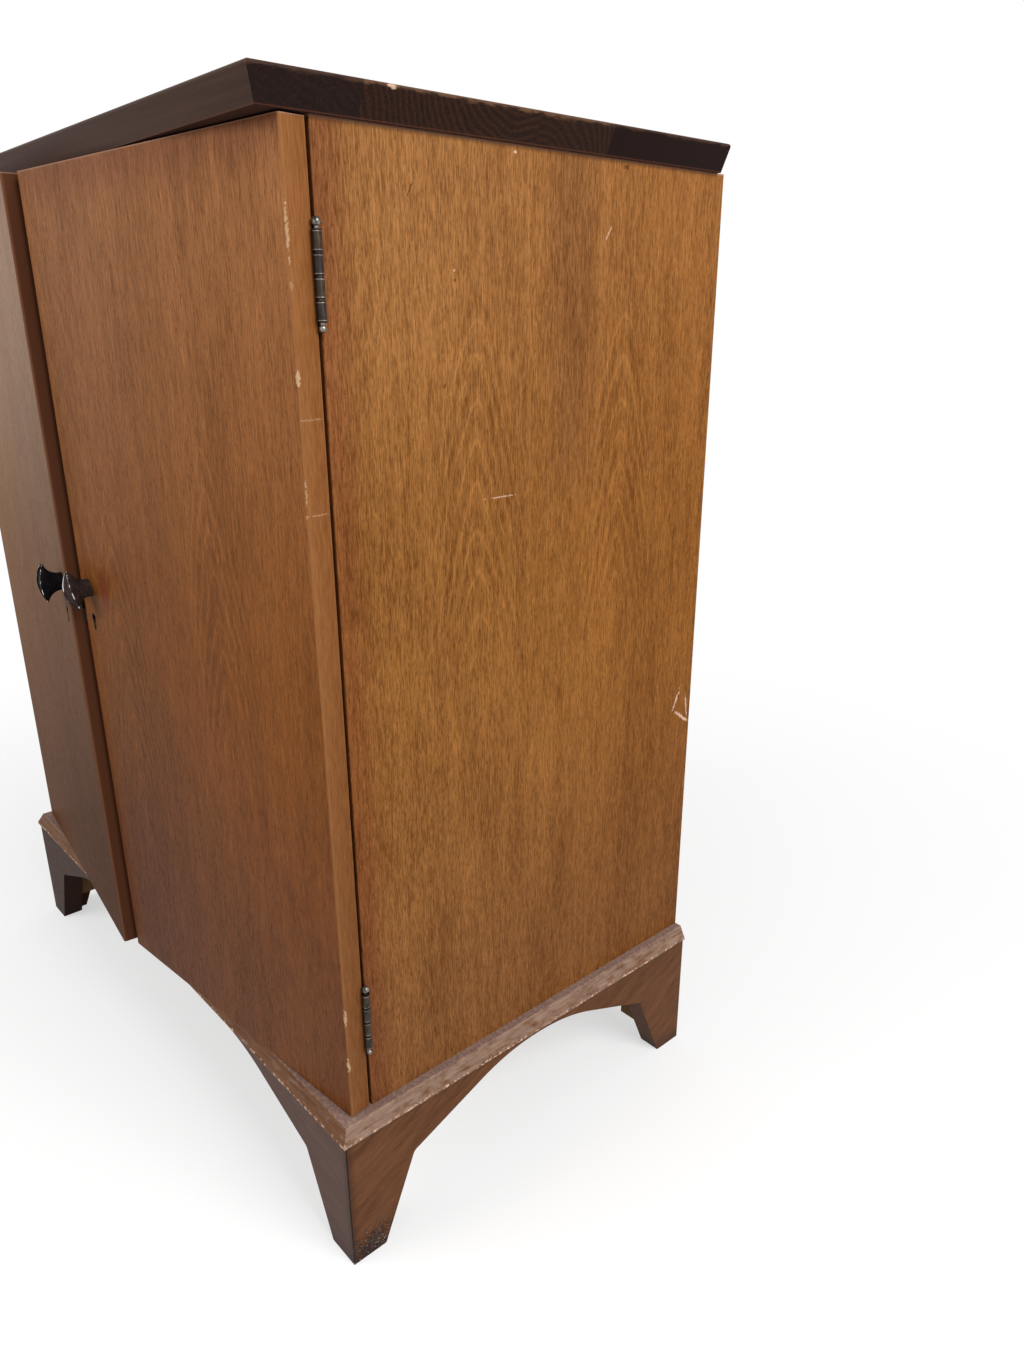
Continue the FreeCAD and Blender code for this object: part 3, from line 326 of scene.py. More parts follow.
def finish_side(hand, side, marks):
    """A side and its front strip; side is 1 on the right and -1 on the left."""
    finish, tree, shader = start_finish(f"{hand}_side_finish")
    spot = seen_from(tree)
    colour, pores = veneer(tree, spot, Y, SIDE_ARCHES, VENEER_DARK, VENEER_LIGHT, SIDE_FIBRE_LENGTH)
    # painted shade, darker towards the foot and the back
    for axis, low, high, by in SIDE_PAINTED_SHADE:
        colour = darken(tree, fade(tree, part_of(tree, spot, axis), low, high), colour, by)
    up, back = part_of(tree, spot, Z), part_of(tree, spot, Y)
    band = product(tree, fade(tree, back, 0.030, 0.062), fade(tree, back, 0.110, 0.078))
    colour = darken(tree, product(tree, band, fade(tree, up, 0.60, 0.70)), colour, DULL_BAND)
    # a darker, redder front edge: the lipping's own wood, with painted shade beside the door gap
    colour = darken(tree, fade(tree, back, CASE_FRONT + 0.034, CASE_FRONT + 0.004), colour, FRONT_STRIP_AND_SHADE)
    # a lighter rim just under the top: painted highlight
    top_rim_highlight = fade(tree, up, TOP_UNDERSIDE - 0.0022, TOP_UNDERSIDE - 0.0004, 0.0, 0.5)
    colour = mix(tree, top_rim_highlight, colour, UNDER_TOP_HIGHLIGHT)
    for from_front, height, length, width, lean, tint, strength in marks:
        place = (SIDE_FACE * side, CASE_FRONT + from_front, height)
        there = mark(tree, spot, place, (0.02, length, width), (lean, 0, 0))
        colour = mix(tree, product(tree, there, strength), colour, tint)
    polish(tree, shader, colour, fade(tree, pores, 0.4, 0.7, 0.40, 0.52), pores, -0.00004)
    lay_on(finish, f"{hand}_side_panel", f"{hand}_side_lipping")


finish_side("right", 1, SIDE_MARKS)
finish_side("left", -1, SIDE_MARKS[:2])


# ---------------------------------------------------------------------------- inside and the back
# The bottom, the rails, the shelf on its cleats and the lapped bottle divider are plain light
# hardwood, left unpolished. The back is thin plywood let into the sides, and the frame's back
# rail, the back apron and the glue blocks are rougher boards that nobody was meant to see.

def finish_plain_wood(name, grain, dark, light, *names):
    """Unpolished wood. grain gives the width, depth and length of a fibre along X, Y and Z."""
    finish, tree, shader = start_finish(name)
    fibre = clouds(tree, seen_from(tree, size=[step * 0.5 for step in grain]), 5.0, 0.65)
    tone = clouds(tree, seen_from(tree, size=[step * 8 for step in grain]), 2.0)
    share = total(tree, spread(tree, fibre, 0.0, 0.65), spread(tree, tone, 0.0, 0.35))
    colour = mix(tree, share, dark, light)
    polish(tree, shader, colour, spread(tree, fibre, 0.58, 0.72), fibre, 0.00010)
    lay_on(finish, *names)


INNER_DARK, INNER_LIGHT = (0.23, 0.120, 0.050, 1), (0.43, 0.260, 0.125, 1)
PLY_DARK, PLY_LIGHT = (0.19, 0.11, 0.053, 1), (0.34, 0.215, 0.115, 1)
HIDDEN_DARK, HIDDEN_LIGHT = (0.16, 0.09, 0.043, 1), (0.31, 0.185, 0.095, 1)
BLOCK_DARK, BLOCK_LIGHT = (0.17, 0.095, 0.042, 1), (0.34, 0.21, 0.105, 1)
ACROSS, DEEP, UPRIGHT = (0.09, 0.0035, 0.0035), (0.0035, 0.09, 0.0035), (0.0035, 0.0035, 0.09)
finish_plain_wood(
    "inner_boards_finish", ACROSS, INNER_DARK, INNER_LIGHT,
    "case_bottom", "front_top_rail", "back_top_rail", "shelf", "divider_long_boards",
)
finish_plain_wood(
    "inner_cross_finish", DEEP, INNER_DARK, INNER_LIGHT, "divider_cross_boards", "shelf_cleats",
)
finish_plain_wood("back_finish", UPRIGHT, PLY_DARK, PLY_LIGHT, "back_panel")
finish_plain_wood(
    "hidden_boards_finish", ACROSS, HIDDEN_DARK, HIDDEN_LIGHT, "base_back_rail", "back_apron",
)
finish_plain_wood("glue_block_finish", UPRIGHT, BLOCK_DARK, BLOCK_LIGHT, "corner_blocks")


# ------------------------------------------------------------------------------- the base moulding
# A solid frame mitred at the front corners, with a bevel along its lip. The lacquer on its sides
# has gone grey and rubs away; chips show pale wood along the lower edge and at the mitre.

LIP_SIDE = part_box("right_moulding")[1].x
LIP_FRONT, MOULDING_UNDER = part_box("front_moulding")[0].y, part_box("front_moulding")[0].z
MOULDING_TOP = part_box("front_moulding")[1].z
BEVEL = 0.007
LACQUER_DARK, LACQUER_LIGHT = (0.110, 0.048, 0.025, 1), (0.200, 0.095, 0.050, 1)
GREY_DARK, GREY_LIGHT = (0.195, 0.118, 0.083, 1), (0.330, 0.215, 0.158, 1)
DUSTY_LEDGE = (0.205, 0.135, 0.118, 1)
RUBBED_EDGE = (0.46, 0.30, 0.20, 1)
MITRE_MIDDLE, MITRE_WEAR = 0.139, (0.0028, 0.0028, 0.020)
GREY_REACH = 0.36


def finish_moulding(name, side, grain, greyness):
    """greyness runs from 0, sound lacquer, to 1, gone grey nearly all over."""
    finish, tree, shader = start_finish(f"{name}_finish")
    spot = seen_from(tree)
    fibre = clouds(tree, seen_from(tree, size=[step * 0.6 for step in grain], spot=spot), 5.0, 0.68)
    blotch = clouds(tree, seen_from(tree, size=(0.016, 0.016, 0.006), spot=spot), 4.0, 0.65)
    torn = clouds(tree, seen_from(tree, size=(0.004, 0.004, 0.003), spot=spot), 4.0, 0.7)
    height = part_of(tree, spot, Z)
    lacquer = mix(tree, spread(tree, fibre), LACQUER_DARK, LACQUER_LIGHT)
    grey = mix(tree, fade(tree, fibre, 0.25, 0.75), GREY_DARK, GREY_LIGHT)
    worn = fade(tree, blotch, 0.60 - greyness * GREY_REACH, 0.92 - greyness * GREY_REACH)
    colour = mix(tree, worn, lacquer, grey)
    ledge = fade(tree, height, MOULDING_TOP - 0.0005, MOULDING_TOP - 0.0001, 0.0, 0.8)
    colour = mix(tree, ledge, colour, DUSTY_LEDGE)
    low = fade(tree, height, MOULDING_UNDER + 0.0048, MOULDING_UNDER + 0.0026)
    colour = mix(tree, product(tree, low, fade(tree, torn, 0.53, 0.58)), colour, PALE_CHIP)
    crest = fade(tree, height, MOULDING_TOP - BEVEL * 0.25, MOULDING_TOP - BEVEL * 0.05)
    rubbed = product(tree, crest, fade(tree, torn, 0.45, 0.62, 0.0, 0.35))
    colour = mix(tree, rubbed, colour, RUBBED_EDGE)
    corner = seen_from(tree, (LIP_SIDE * side, LIP_FRONT, MITRE_MIDDLE), MITRE_WEAR, spot=spot)
    away = total(tree, distance(tree, corner), spread(tree, torn, -0.4, 0.4))
    colour = mix(tree, fade(tree, away, 1.1, 0.8, 0.0, 0.75), colour, RUBBED_EDGE)
    polish(tree, shader, colour, fade(tree, worn, 0.0, 1.0, 0.40, 0.62), fibre, 0.00016)
    lay_on(finish, name)


finish_moulding("front_moulding", 1, (0.06, 0.0035, 0.0035), 0.25)
finish_moulding("right_moulding", 1, (0.0035, 0.06, 0.0035), 0.88)
finish_moulding("left_moulding", -1, (0.0035, 0.06, 0.0035), 0.80)


# --------------------------------------------------------------------------- the bracket feet
# Mitred boards, each cut to a foot at its ends and a low arch between them. The mitres have gone
# black along the corner, and the foot that gets kicked is scuffed dark down at the floor.

FOOT_SIDE, FOOT_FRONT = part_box("right_apron")[1].x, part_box("front_apron")[0].y
LEFT_SHADE = (0.34, 0.22, 0.14, 1)
CORNER_BROWN, CORNER_BLACK = (0.030, 0.015, 0.011, 1), (0.012, 0.007, 0.006, 1)
DARKER_NEAR_FLOOR = (0.024, 0.016, 0.015, 1)
LIP_SHADE = (0.02, 0.012, 0.010, 1)
SCUFF_DARK, SCUFF_PALE = (0.022, 0.015, 0.015, 1), (0.62, 0.55, 0.50, 1)
MITRE_LINE = (0.001, 0.001, ENDLESS)


def finish_apron(name, grain, lean, dark, light, fading, scuff=None):
    """lean is how the figure slopes, fading how much darker it gets to the left; scuff is the
    place, size and turn of a dark kicked patch."""
    finish, tree, shader = start_finish(f"{name}_finish")
    spot = seen_from(tree)
    fine, broad = [step * 0.45 for step in grain], [step * 2.4 for step in grain]
    fibre = clouds(tree, seen_from(tree, size=fine, turn=lean, spot=spot), 4.0, 0.66, 0.6)
    curl = clouds(tree, seen_from(tree, size=broad, turn=lean, spot=spot), 3.0, 0.6, 0.8)
    share = total(tree, fade(tree, fibre, 0.25, 0.75, 0.0, 0.45), fade(tree, curl, 0.2, 0.8, 0.0, 0.55))
    colour = mix(tree, share, dark, light)
    up, across = part_of(tree, spot, Z), part_of(tree, spot, X)
    colour = darken(tree, fade(tree, across, 0.20, -0.34, 0.0, fading), colour, LEFT_SHADE)
    for side in (-1, 1):
        away = distance(tree, seen_from(tree, (FOOT_SIDE * side, FOOT_FRONT, 0), MITRE_LINE, spot=spot))
        colour = mix(tree, fade(tree, away, 9.0, 1.0, 0.0, 0.45), colour, CORNER_BROWN)
        colour = mix(tree, fade(tree, away, 1.25, 0.75, 0.0, 0.9), colour, CORNER_BLACK)
    # darker towards the floor
    colour = mix(tree, fade(tree, up, 0.026, 0.0, 0.0, 0.50), colour, DARKER_NEAR_FLOOR)
    shade = fade(tree, up, MOULDING_UNDER - 0.005, MOULDING_UNDER, 0.0, 0.35)
    colour = mix(tree, shade, colour, LIP_SHADE)
    if scuff:
        kicked = mark(tree, spot, *scuff, ragged=0.8)
        colour = mix(tree, product(tree, kicked, 0.80), colour, SCUFF_DARK)
        specks = clouds(tree, seen_from(tree, size=(0.0014, 0.0014, 0.0014), spot=spot), 3.0, 0.7)
        flecks = product(tree, kicked, fade(tree, specks, 0.62, 0.66))
        colour = mix(tree, flecks, colour, SCUFF_PALE)
    polish(tree, shader, colour, spread(tree, fibre, 0.40, 0.54), fibre, 0.00008)
    lay_on(finish, name)


APRON_DARK, APRON_LIGHT = (0.070, 0.027, 0.011, 1), (0.182, 0.076, 0.035, 1)
FRONT_APRON_DARK, FRONT_APRON_LIGHT = (0.075, 0.040, 0.031, 1), (0.138, 0.080, 0.063, 1)
kicked_patch = ((FOOT_SIDE, FOOT_FRONT + 0.016, 0.006), (0.01, 0.022, 0.017), (0.4, 0, 0))
ALONG_SIDE, ALONG_FRONT = (0.004, 0.026, 0.004), (0.030, 0.004, 0.004)
SIDE_LEAN, FRONT_LEAN = (0.45, 0, 0), (0, 0.15, 0)
finish_apron("right_apron", ALONG_SIDE, SIDE_LEAN, APRON_DARK, APRON_LIGHT, 0.0, kicked_patch)
finish_apron("left_apron", ALONG_SIDE, SIDE_LEAN, APRON_DARK, APRON_LIGHT, 0.25)
finish_apron("front_apron", ALONG_FRONT, FRONT_LEAN, FRONT_APRON_DARK, FRONT_APRON_LIGHT, 1.0)


# ------------------------------------------------------------------------------------- the doors
# Each door is a veneered board between solid strips on its two upright edges, so that its front
# looks like one sheet. The strip on the hinge edge is lighter than the veneer, that on the free
# edge is stained red-brown, and the arris over the hinges is chipped down to pale wood.

JOINTS = {joint["name"]: joint for joint in frame["joints"]}
PIN_SETBACK = CASE_FRONT - JOINTS["right_door_hinge"]["pos_m"][Y]
SHUT_FRONT, SHUT_BACK = -0.0213, -0.0028
DOOR_FRONT, DOOR_BACK = SHUT_FRONT + PIN_SETBACK, SHUT_BACK + PIN_SETBACK
HALF_MEETING_GAP = 0.001
HINGE_EDGE = JOINTS["right_door_hinge"]["pos_m"][X] - SIDE_FACE
FREE_EDGE = JOINTS["right_door_hinge"]["pos_m"][X] - HALF_MEETING_GAP
DOOR_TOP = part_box("right_door_panel")[1].z
ARRIS = 0.002
KEYHOLE_IN, KEYHOLE_HEIGHT, SLOT_FOOT = FREE_EDGE - 0.0165, 0.5165, 0.0105
KEYHOLE_SHADE, KEYHOLE_OLIVE = (0.006, 0.004, 0.003, 1), (0.055, 0.042, 0.010, 1)
DOOR_FIBRE_LENGTH = 0.024
FAR_CORNER_SHADE, FREE_EDGE_SHADE = (0.80, 0.72, 0.60, 1), (0.82, 0.85, 0.95, 1)
TOP_OVERHANG_SHADE = (0.82, 0.76, 0.84, 1)
STRIP_DARK, STRIP_LIGHT = (0.185, 0.063, 0.016, 1), (0.310, 0.124, 0.040, 1)
STRIP_SHADE_BELOW = (0.76, 0.76, 0.82, 1)
STAINED_EDGE, STAINED_ARRIS_HIGHLIGHT = (0.112, 0.041, 0.020, 1), (0.190, 0.082, 0.044, 1)
HINGE_ARRIS_HIGHLIGHT = (0.42, 0.20, 0.085, 1)
DOOR_TOP_HIGHLIGHT = (0.52, 0.30, 0.21, 1)
DOOR_CHIP = (0.56, 0.36, 0.205, 1)
INNER_FACE = (0.31, 0.155, 0.066, 1)


def door_hang(hand):
    """A door's hinge line and how far it stands open, in radians about Z."""
    joint = JOINTS[f"{hand}_door_hinge"]
    return Vector(joint["pos_m"]), -math.radians(joint["range_deg"][0]) * joint["axis"][Z]


def on_door(tree, hand):
    """Coordinates counted from the hinge line, along and square to the door."""
    pin, turn = door_hang(hand)
    return seen_from(tree, place=(pin.x, pin.y, 0), turn=(0, 0, turn))


def lay_keyhole(tree, spot, side, colour):
    """The colour, with the keyhole and a little round it painted dark: painted shade inside the hole."""
    keyhole = seen_from(tree, (-side * KEYHOLE_IN, DOOR_FRONT, KEYHOLE_HEIGHT), spot=spot)
    beside, above = part_of(tree, keyhole, X), part_of(tree, keyhole, Z)
    past = work_out(tree, "MAXIMUM", total(tree, product(tree, above, -1.0), -SLOT_FOOT), 0.0)
    slot_spot = add(tree, "ShaderNodeCombineXYZ", {0: beside, 2: past}).outputs[0]
    below_eye = fade(tree, above, 0.002, 0.0)
    slot = product(tree, fade(tree, distance(tree, slot_spot), 0.0030, 0.0020), below_eye)
    # painted shade inside the keyhole and just round its rim
    hole_shade = work_out(tree, "MAXIMUM", slot, fade(tree, distance(tree, keyhole), 0.0042, 0.0033))
    hollow = mix(tree, fade(tree, above, -0.003, -0.007), KEYHOLE_SHADE, KEYHOLE_OLIVE)
    return mix(tree, hole_shade, colour, hollow)


def lay_strips(tree, spot, from_pin, colour):
    """The colour, with the solid strips of both upright edges, painted shade low on the hinge strip
    and painted highlights along the front arrises.
    """
    up, out = part_of(tree, spot, Z), part_of(tree, spot, Y)
    line = clouds(tree, seen_from(tree, size=(0.0012, 0.0012, 0.013), spot=spot), 4.0, 0.65)
    line = total(tree, spread(tree, line, 0.0, 0.65), fade(tree, out, DOOR_FRONT, DOOR_BACK, 0.35, 0.0))
    strip = mix(tree, line, STRIP_DARK, STRIP_LIGHT)
    # painted shade, darker towards the foot
    strip = darken(tree, fade(tree, up, 0.80, 0.20), strip, STRIP_SHADE_BELOW)
    colour = mix(tree, fade(tree, from_pin, HINGE_EDGE + 0.0016, HINGE_EDGE + 0.0007), colour, strip)
    front_arris = fade(tree, out, DOOR_FRONT + 0.0028, DOOR_FRONT + 0.0008)
    # the free edge's own red-brown stain, lighter towards the front arris: painted highlight
    red = mix(tree, product(tree, front_arris, 0.75), STAINED_EDGE, STAINED_ARRIS_HIGHLIGHT)
    colour = mix(tree, fade(tree, from_pin, FREE_EDGE - ARRIS, FREE_EDGE - 0.0008), colour, red)
    # a pale line along the hinge arris: painted highlight
    arris = product(tree, fade(tree, from_pin, HINGE_EDGE + 0.0022, HINGE_EDGE + 0.0006), front_arris)
    return mix(tree, product(tree, arris, 0.20), colour, HINGE_ARRIS_HIGHLIGHT)


def finish_door(hand, side, free_strip, gloss, tints, marks, stains_and_shadow):
    """tints are the veneer's dark and light, then the painted shade that darkens its middle and foot."""
    finish, tree, shader = start_finish(f"{hand}_door_finish")
    spot = on_door(tree, hand)
    dark, light, shade_middle, below = tints
    arches = ((-0.13 * side, 0.70), (-0.30 * side, 0.62))
    colour, pores = veneer(tree, spot, X, arches, dark, light, DOOR_FIBRE_LENGTH)
    up, out = part_of(tree, spot, Z), part_of(tree, spot, Y)
    from_pin = product(tree, part_of(tree, spot, X), -side)
    # painted shade, darker down the middle and towards the foot
    colour = darken(tree, fade(tree, up, 0.90, 0.48), colour, shade_middle)
    colour = darken(tree, fade(tree, up, 0.54, 0.20), colour, below)
    # painted shade, darker in the lower part away from the hinge
    far_below_shade = product(tree, fade(tree, from_pin, 0.08, 0.36), fade(tree, up, 0.62, 0.22))
    colour = darken(tree, far_below_shade, colour, FAR_CORNER_SHADE)
    # painted shade, darker towards the free edge
    colour = darken(tree, fade(tree, from_pin, 0.03, 0.30), colour, FREE_EDGE_SHADE)
    # painted shade under the overhanging top
    colour = darken(tree, fade(tree, up, DOOR_TOP - 0.040, DOOR_TOP), colour, TOP_OVERHANG_SHADE)
    colour = lay_keyhole(tree, spot, side, colour)
    for place, size, tint, strength in stains_and_shadow:
        patch_mask = mark(tree, spot, place, size, ragged=0.3)
        colour = mix(tree, product(tree, patch_mask, strength), colour, tint)
    colour = lay_strips(tree, spot, from_pin, colour)
    # a lighter rim along the door's top edge: painted highlight
    top_rim_highlight = fade(tree, up, DOOR_TOP - 0.0012, DOOR_TOP - 0.0002, 0.0, 0.5)
    colour = mix(tree, top_rim_highlight, colour, DOOR_TOP_HIGHLIGHT)
    for place, size, strength in marks:
        there = mark(tree, spot, place, size, ragged=0.7)
        colour = mix(tree, product(tree, there, strength), colour, DOOR_CHIP)
    inner = fade(tree, out, DOOR_BACK - 0.0006, DOOR_BACK - 0.0001, 0.0, 0.45)
    colour = mix(tree, inner, colour, INNER_FACE)
    polish(tree, shader, colour, fade(tree, pores, 0.4, 0.7, 0.36, 0.48), pores, -0.00004, gloss)
    lay_on(finish, f"{hand}_door_panel", f"{hand}_door_hinge_stile", free_strip)


# the right door's veneer, then the painted shade on its middle and its foot
RIGHT_DOOR_TINTS_AND_SHADE = (
    (0.172, 0.061, 0.0165, 1), (0.510, 0.208, 0.074, 1),
    (0.65, 0.53, 0.29, 1), (0.72, 0.70, 0.95, 1),
)
# painted reflection: paler, greyer veneer than the right door's, with painted shade lower down
LEFT_DOOR_TINTS_REFLECTION_AND_SHADE = (
    (0.320, 0.190, 0.113, 1), (0.527, 0.340, 0.213, 1),
    (0.45, 0.335, 0.24, 1), (0.55, 0.44, 0.34, 1),
)
LEFT_DOOR_GLOSS = 0.004
ON_ARRIS = (-HINGE_EDGE - 0.0004, DOOR_FRONT + 0.0004)
ON_HINGE_EDGE = (-HINGE_EDGE, DOOR_FRONT + 0.010)
chips = [
    # place counted from the hinge line and up from the floor, half-lengths, strength
    ((*ON_ARRIS, 0.8315), (0.0011, 0.0012, 0.0165), 0.80),
    ((*ON_ARRIS, 0.7970), (0.0011, 0.0012, 0.0022), 0.35),
    ((*ON_ARRIS, 0.7430), (0.0015, 0.0018, 0.0050), 0.95),
    ((*ON_ARRIS, 0.6710), (0.0008, 0.0009, 0.0075), 0.70),
    ((*ON_ARRIS, 0.6550), (0.0015, 0.0013, 0.0015), 0.60),
    ((*ON_ARRIS, 0.2490), (0.0012, 0.0014, 0.0072), 0.85),
    ((*ON_ARRIS, 0.2015), (0.0015, 0.0016, 0.0062), 0.90),
    ((*ON_HINGE_EDGE, 0.7170), (0.004, 0.0090, 0.0006), 0.30),
    ((*ON_HINGE_EDGE, 0.6550), (0.004, 0.0090, 0.0006), 0.35),
]
stains_and_shadow = [
    # place, half-lengths, tint, strength
    ((*ON_ARRIS, 0.7880), (0.0010, 0.0012, 0.0250), (0.085, 0.050, 0.045, 1), 0.70),
    ((*ON_ARRIS, 0.7150), (0.0007, 0.0009, 0.0200), (0.110, 0.055, 0.035, 1), 0.50),
    # painted shadow of the knob, cast on the door beside it
    ((-0.3234, DOOR_FRONT, 0.5480), (0.0100, 0.01, 0.0210), (0.150, 0.036, 0.016, 1), 0.78),
    ((-0.2427, DOOR_FRONT, 0.5685), (0.0016, 0.01, 0.0012), DARK_SPOT, 0.80),
]
finish_door("right", 1, "right_door_lock_stile", WOOD_GLOSS, RIGHT_DOOR_TINTS_AND_SHADE, chips, stains_and_shadow)
finish_door("left", -1, "left_door_meeting_stile", LEFT_DOOR_GLOSS, LEFT_DOOR_TINTS_REFLECTION_AND_SHADE, [], [])


# ------------------------------------------------------------------------------------- the knobs
# Cast brass knobs, blackened by age: a slender neck fans out to a blunt-ended upright oval, whose
# bowed face is sunk inside a border worn bright. The right one has turned a little on its screw.

KNOB_X, KNOB_HEIGHT = 0.0175, 0.545
KNOB_END = 0.003
NECK_SIDE, NECK_TOP, NECK_LENGTH = 0.006, 0.0078, 0.002
MOUTH_SIDE, MOUTH_TOP, MOUTH_DEPTH = 0.0092, 0.0179, 0.0152
RIM, BOW, BORDER, FIELD = 0.0012, 0.0046, 0.0018, 0.0009
BORDER_EDGE = 0.0002
BORDER_RINGS = (
    # how far in from the outline, how far below the border
    (0, 0.0003), (0.0003, 0), (BORDER - BORDER_EDGE, 0), (BORDER, BORDER_EDGE),
    (BORDER + BORDER_EDGE, FIELD),
)
FIELD_RINGS = (0.82, 0.55, 0.25)
RUBBED_BRASS = (0.74, 0.68, 0.62, 1)
KNOB_GLOSS = 0.008
RIGHT_KNOB_TURN = math.radians(26)
OVAL_STEPS, FLARE_STEPS = 72, 16


def set_oval(ring, side, top, depth):
    """Moves a unit circle's points to an upright oval with bowed sides and blunt ends."""
    bulge = side - KNOB_END
    bend = (top * top + bulge * bulge) / (bulge * 2)
    for point in ring:
        height = point.co.y * top
        across = side - bend + math.sqrt(bend * bend - height * height)
        hand_side = max(-1, min(1, point.co.x * OVAL_STEPS))
        point.co = (across * hand_side, height, depth(height))


def bowed(height, below=0.0):
    """Depth of the bowed face at a height from its middle, less what it lies below the border."""
    bend = (MOUTH_TOP * MOUTH_TOP + BOW * BOW) / (BOW * 2)
    return MOUTH_DEPTH + RIM + BOW - bend + math.sqrt(bend * bend - height * height) - below


def knob_rings():
    """Side, top and depth of each ring of a knob, from the door to the middle of its face."""
    ahead, widening = MOUTH_DEPTH - NECK_LENGTH, MOUTH_TOP - NECK_TOP
    flare = (ahead ** 2 + widening ** 2) / widening / 2
    rings = [(NECK_SIDE, NECK_TOP, lambda height: 0.0)]
    for step in range(FLARE_STEPS + 1):
        run = ahead * step / FLARE_STEPS
        rise = flare - math.sqrt(flare * flare - run * run)
        side = NECK_SIDE + (MOUTH_SIDE - NECK_SIDE) * (rise / widening) ** 0.8
        rings.append((side, NECK_TOP + rise, lambda height, run=run: NECK_LENGTH + run))
    for inset, below in BORDER_RINGS:
        side, top = MOUTH_SIDE - inset, MOUTH_TOP - inset
        rings.append((side, top, lambda height, below=below: bowed(height, below)))
    for share in FIELD_RINGS:
        side = KNOB_END + (MOUTH_SIDE - BORDER - KNOB_END) * share
        rings.append((side, (MOUTH_TOP - BORDER) * share, lambda height: bowed(height, FIELD)))
    return rings


def make_knob_shape():
    """A knob about its own axis, its upright along Y and its face towards Z."""
    shape = bmesh.new()
    last = None
    for side, top, depth in knob_rings():
        ring = bmesh.ops.create_circle(shape, segments=OVAL_STEPS, radius=1)["verts"]
        set_oval(ring, side, top, depth)
        edges = [edge for edge in shape.edges if edge.verts[0] in ring and edge.verts[1] in ring]
        if last:
            bmesh.ops.bridge_loops(shape, edges=last + edges)
        else:
            bmesh.ops.contextual_create(shape, geom=edges)
        last = edges
    bmesh.ops.contextual_create(shape, geom=last)
    bmesh.ops.recalc_face_normals(shape, faces=shape.faces)
    return shape


CRISP_ANGLE = math.radians(35)


def make_piece(name, shapes, finish, body):
    """One object of (bmesh, place) shapes, riding on a body."""
    whole = bmesh.new()
    for shape, place in shapes:
        part = bpy.data.meshes.new("part")
        shape.to_mesh(part)
        part.transform(place)
        whole.from_mesh(part)
        bpy.data.meshes.remove(part)
    mesh = bpy.data.meshes.new(name)
    whole.to_mesh(mesh)
    whole.free()
    mesh.materials.append(finish)
    mesh.shade_smooth()
    mesh.set_sharp_from_angle(angle=CRISP_ANGLE)
    piece = bpy.data.objects.new(name, mesh)
    bpy.context.scene.collection.objects.link(piece)
    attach(piece, body)
    return piece


FACING = {
    "front": Matrix.Rotation(math.radians(90), 4, "X"),
    "back": Matrix.Rotation(math.radians(-90), 4, "X"),
    "right": Matrix.Rotation(math.radians(90), 4, "Y"),
    "down": Matrix.Rotation(math.radians(180), 4, "X"),
}


def case_place(x, from_front, z, facing="front"):
    """Place on the case, with a piece's own Z turned the way that it faces."""
    return Matrix.Translation((x, CASE_FRONT + from_front, z)) @ FACING[facing]


def door_place(hand, x, from_front, z, facing="front"):
    """Place on a door, given where it is with the door shut."""
    pin, turn = door_hang(hand)
    swing = Matrix.Translation(pin) @ Matrix.Rotation(turn, 4, "Z") @ Matrix.Translation(-pin)
    return swing @ case_place(x, from_front, z, facing)


def finish_knob(hand, side, turn, dark, light, rim_wear, highlight_share):
    """Dark patina, rubbed through to brass round the border, and a painted highlight of bright brass
    along the border's upper inner edge.
    """
    finish, tree, shader = start_finish(f"{hand}_knob_finish")
    pin, _ = door_hang(hand)
    place = (KNOB_X * side - pin.x, DOOR_FRONT, KNOB_HEIGHT)
    spot = seen_from(tree, place, turn=(0, -turn, 0), spot=on_door(tree, hand))
    across, out, up = (part_of(tree, spot, axis) for axis in (X, Y, Z))
    drop = product(tree, up, up, 1 / MOUTH_TOP ** 2)
    level = total(tree, product(tree, out, -1.0), product(tree, drop, BOW))
    half = total(tree, product(tree, drop, KNOB_END - MOUTH_SIDE), MOUTH_SIDE)
    inset = work_out(tree, "SUBTRACT", half, work_out(tree, "ABSOLUTE", across))
    torn = clouds(tree, seen_from(tree, size=(0.0036, 0.0036, 0.0060), spot=spot), 4.0, 0.7)
    face_level = MOUTH_DEPTH + RIM + BOW
    front = fade(tree, level, face_level - 0.0007, face_level - 0.0002)
    outer = fade(tree, inset, 0.0009, 0.0004)
    inner = product(tree, fade(tree, inset, 0.0010, 0.0014), fade(tree, inset, 0.0021, 0.0018))
    patchy = fade(tree, torn, 0.66 - 0.12 * rim_wear, 0.72 - 0.12 * rim_wear)
    worn = product(tree, front, outer, patchy)
    # painted highlight: bright brass along the border's upper inner edge
    upper = fade(tree, up, 0.0010, 0.0035, 0.0, highlight_share)
    painted_highlight = product(tree, upper, fade(tree, across, 0.001, -0.001))
    worn = work_out(tree, "MAXIMUM", worn, product(tree, front, inner, painted_highlight))
    patina = mix(tree, spread(tree, torn), dark, light)
    tree.links.new(mix(tree, worn, patina, RUBBED_BRASS), shader.inputs["Base Color"])
    tree.links.new(fade(tree, torn, 0.25, 0.75, 0.50, 0.34), shader.inputs["Roughness"])
    tree.links.new(fade(tree, worn, 0.0, 0.6, 0.0, 0.95), shader.inputs["Metallic"])
    shader.inputs["Specular IOR Level"].default_value = KNOB_GLOSS
    raise_grain(tree, shader, torn, 0.00010)
    return finish


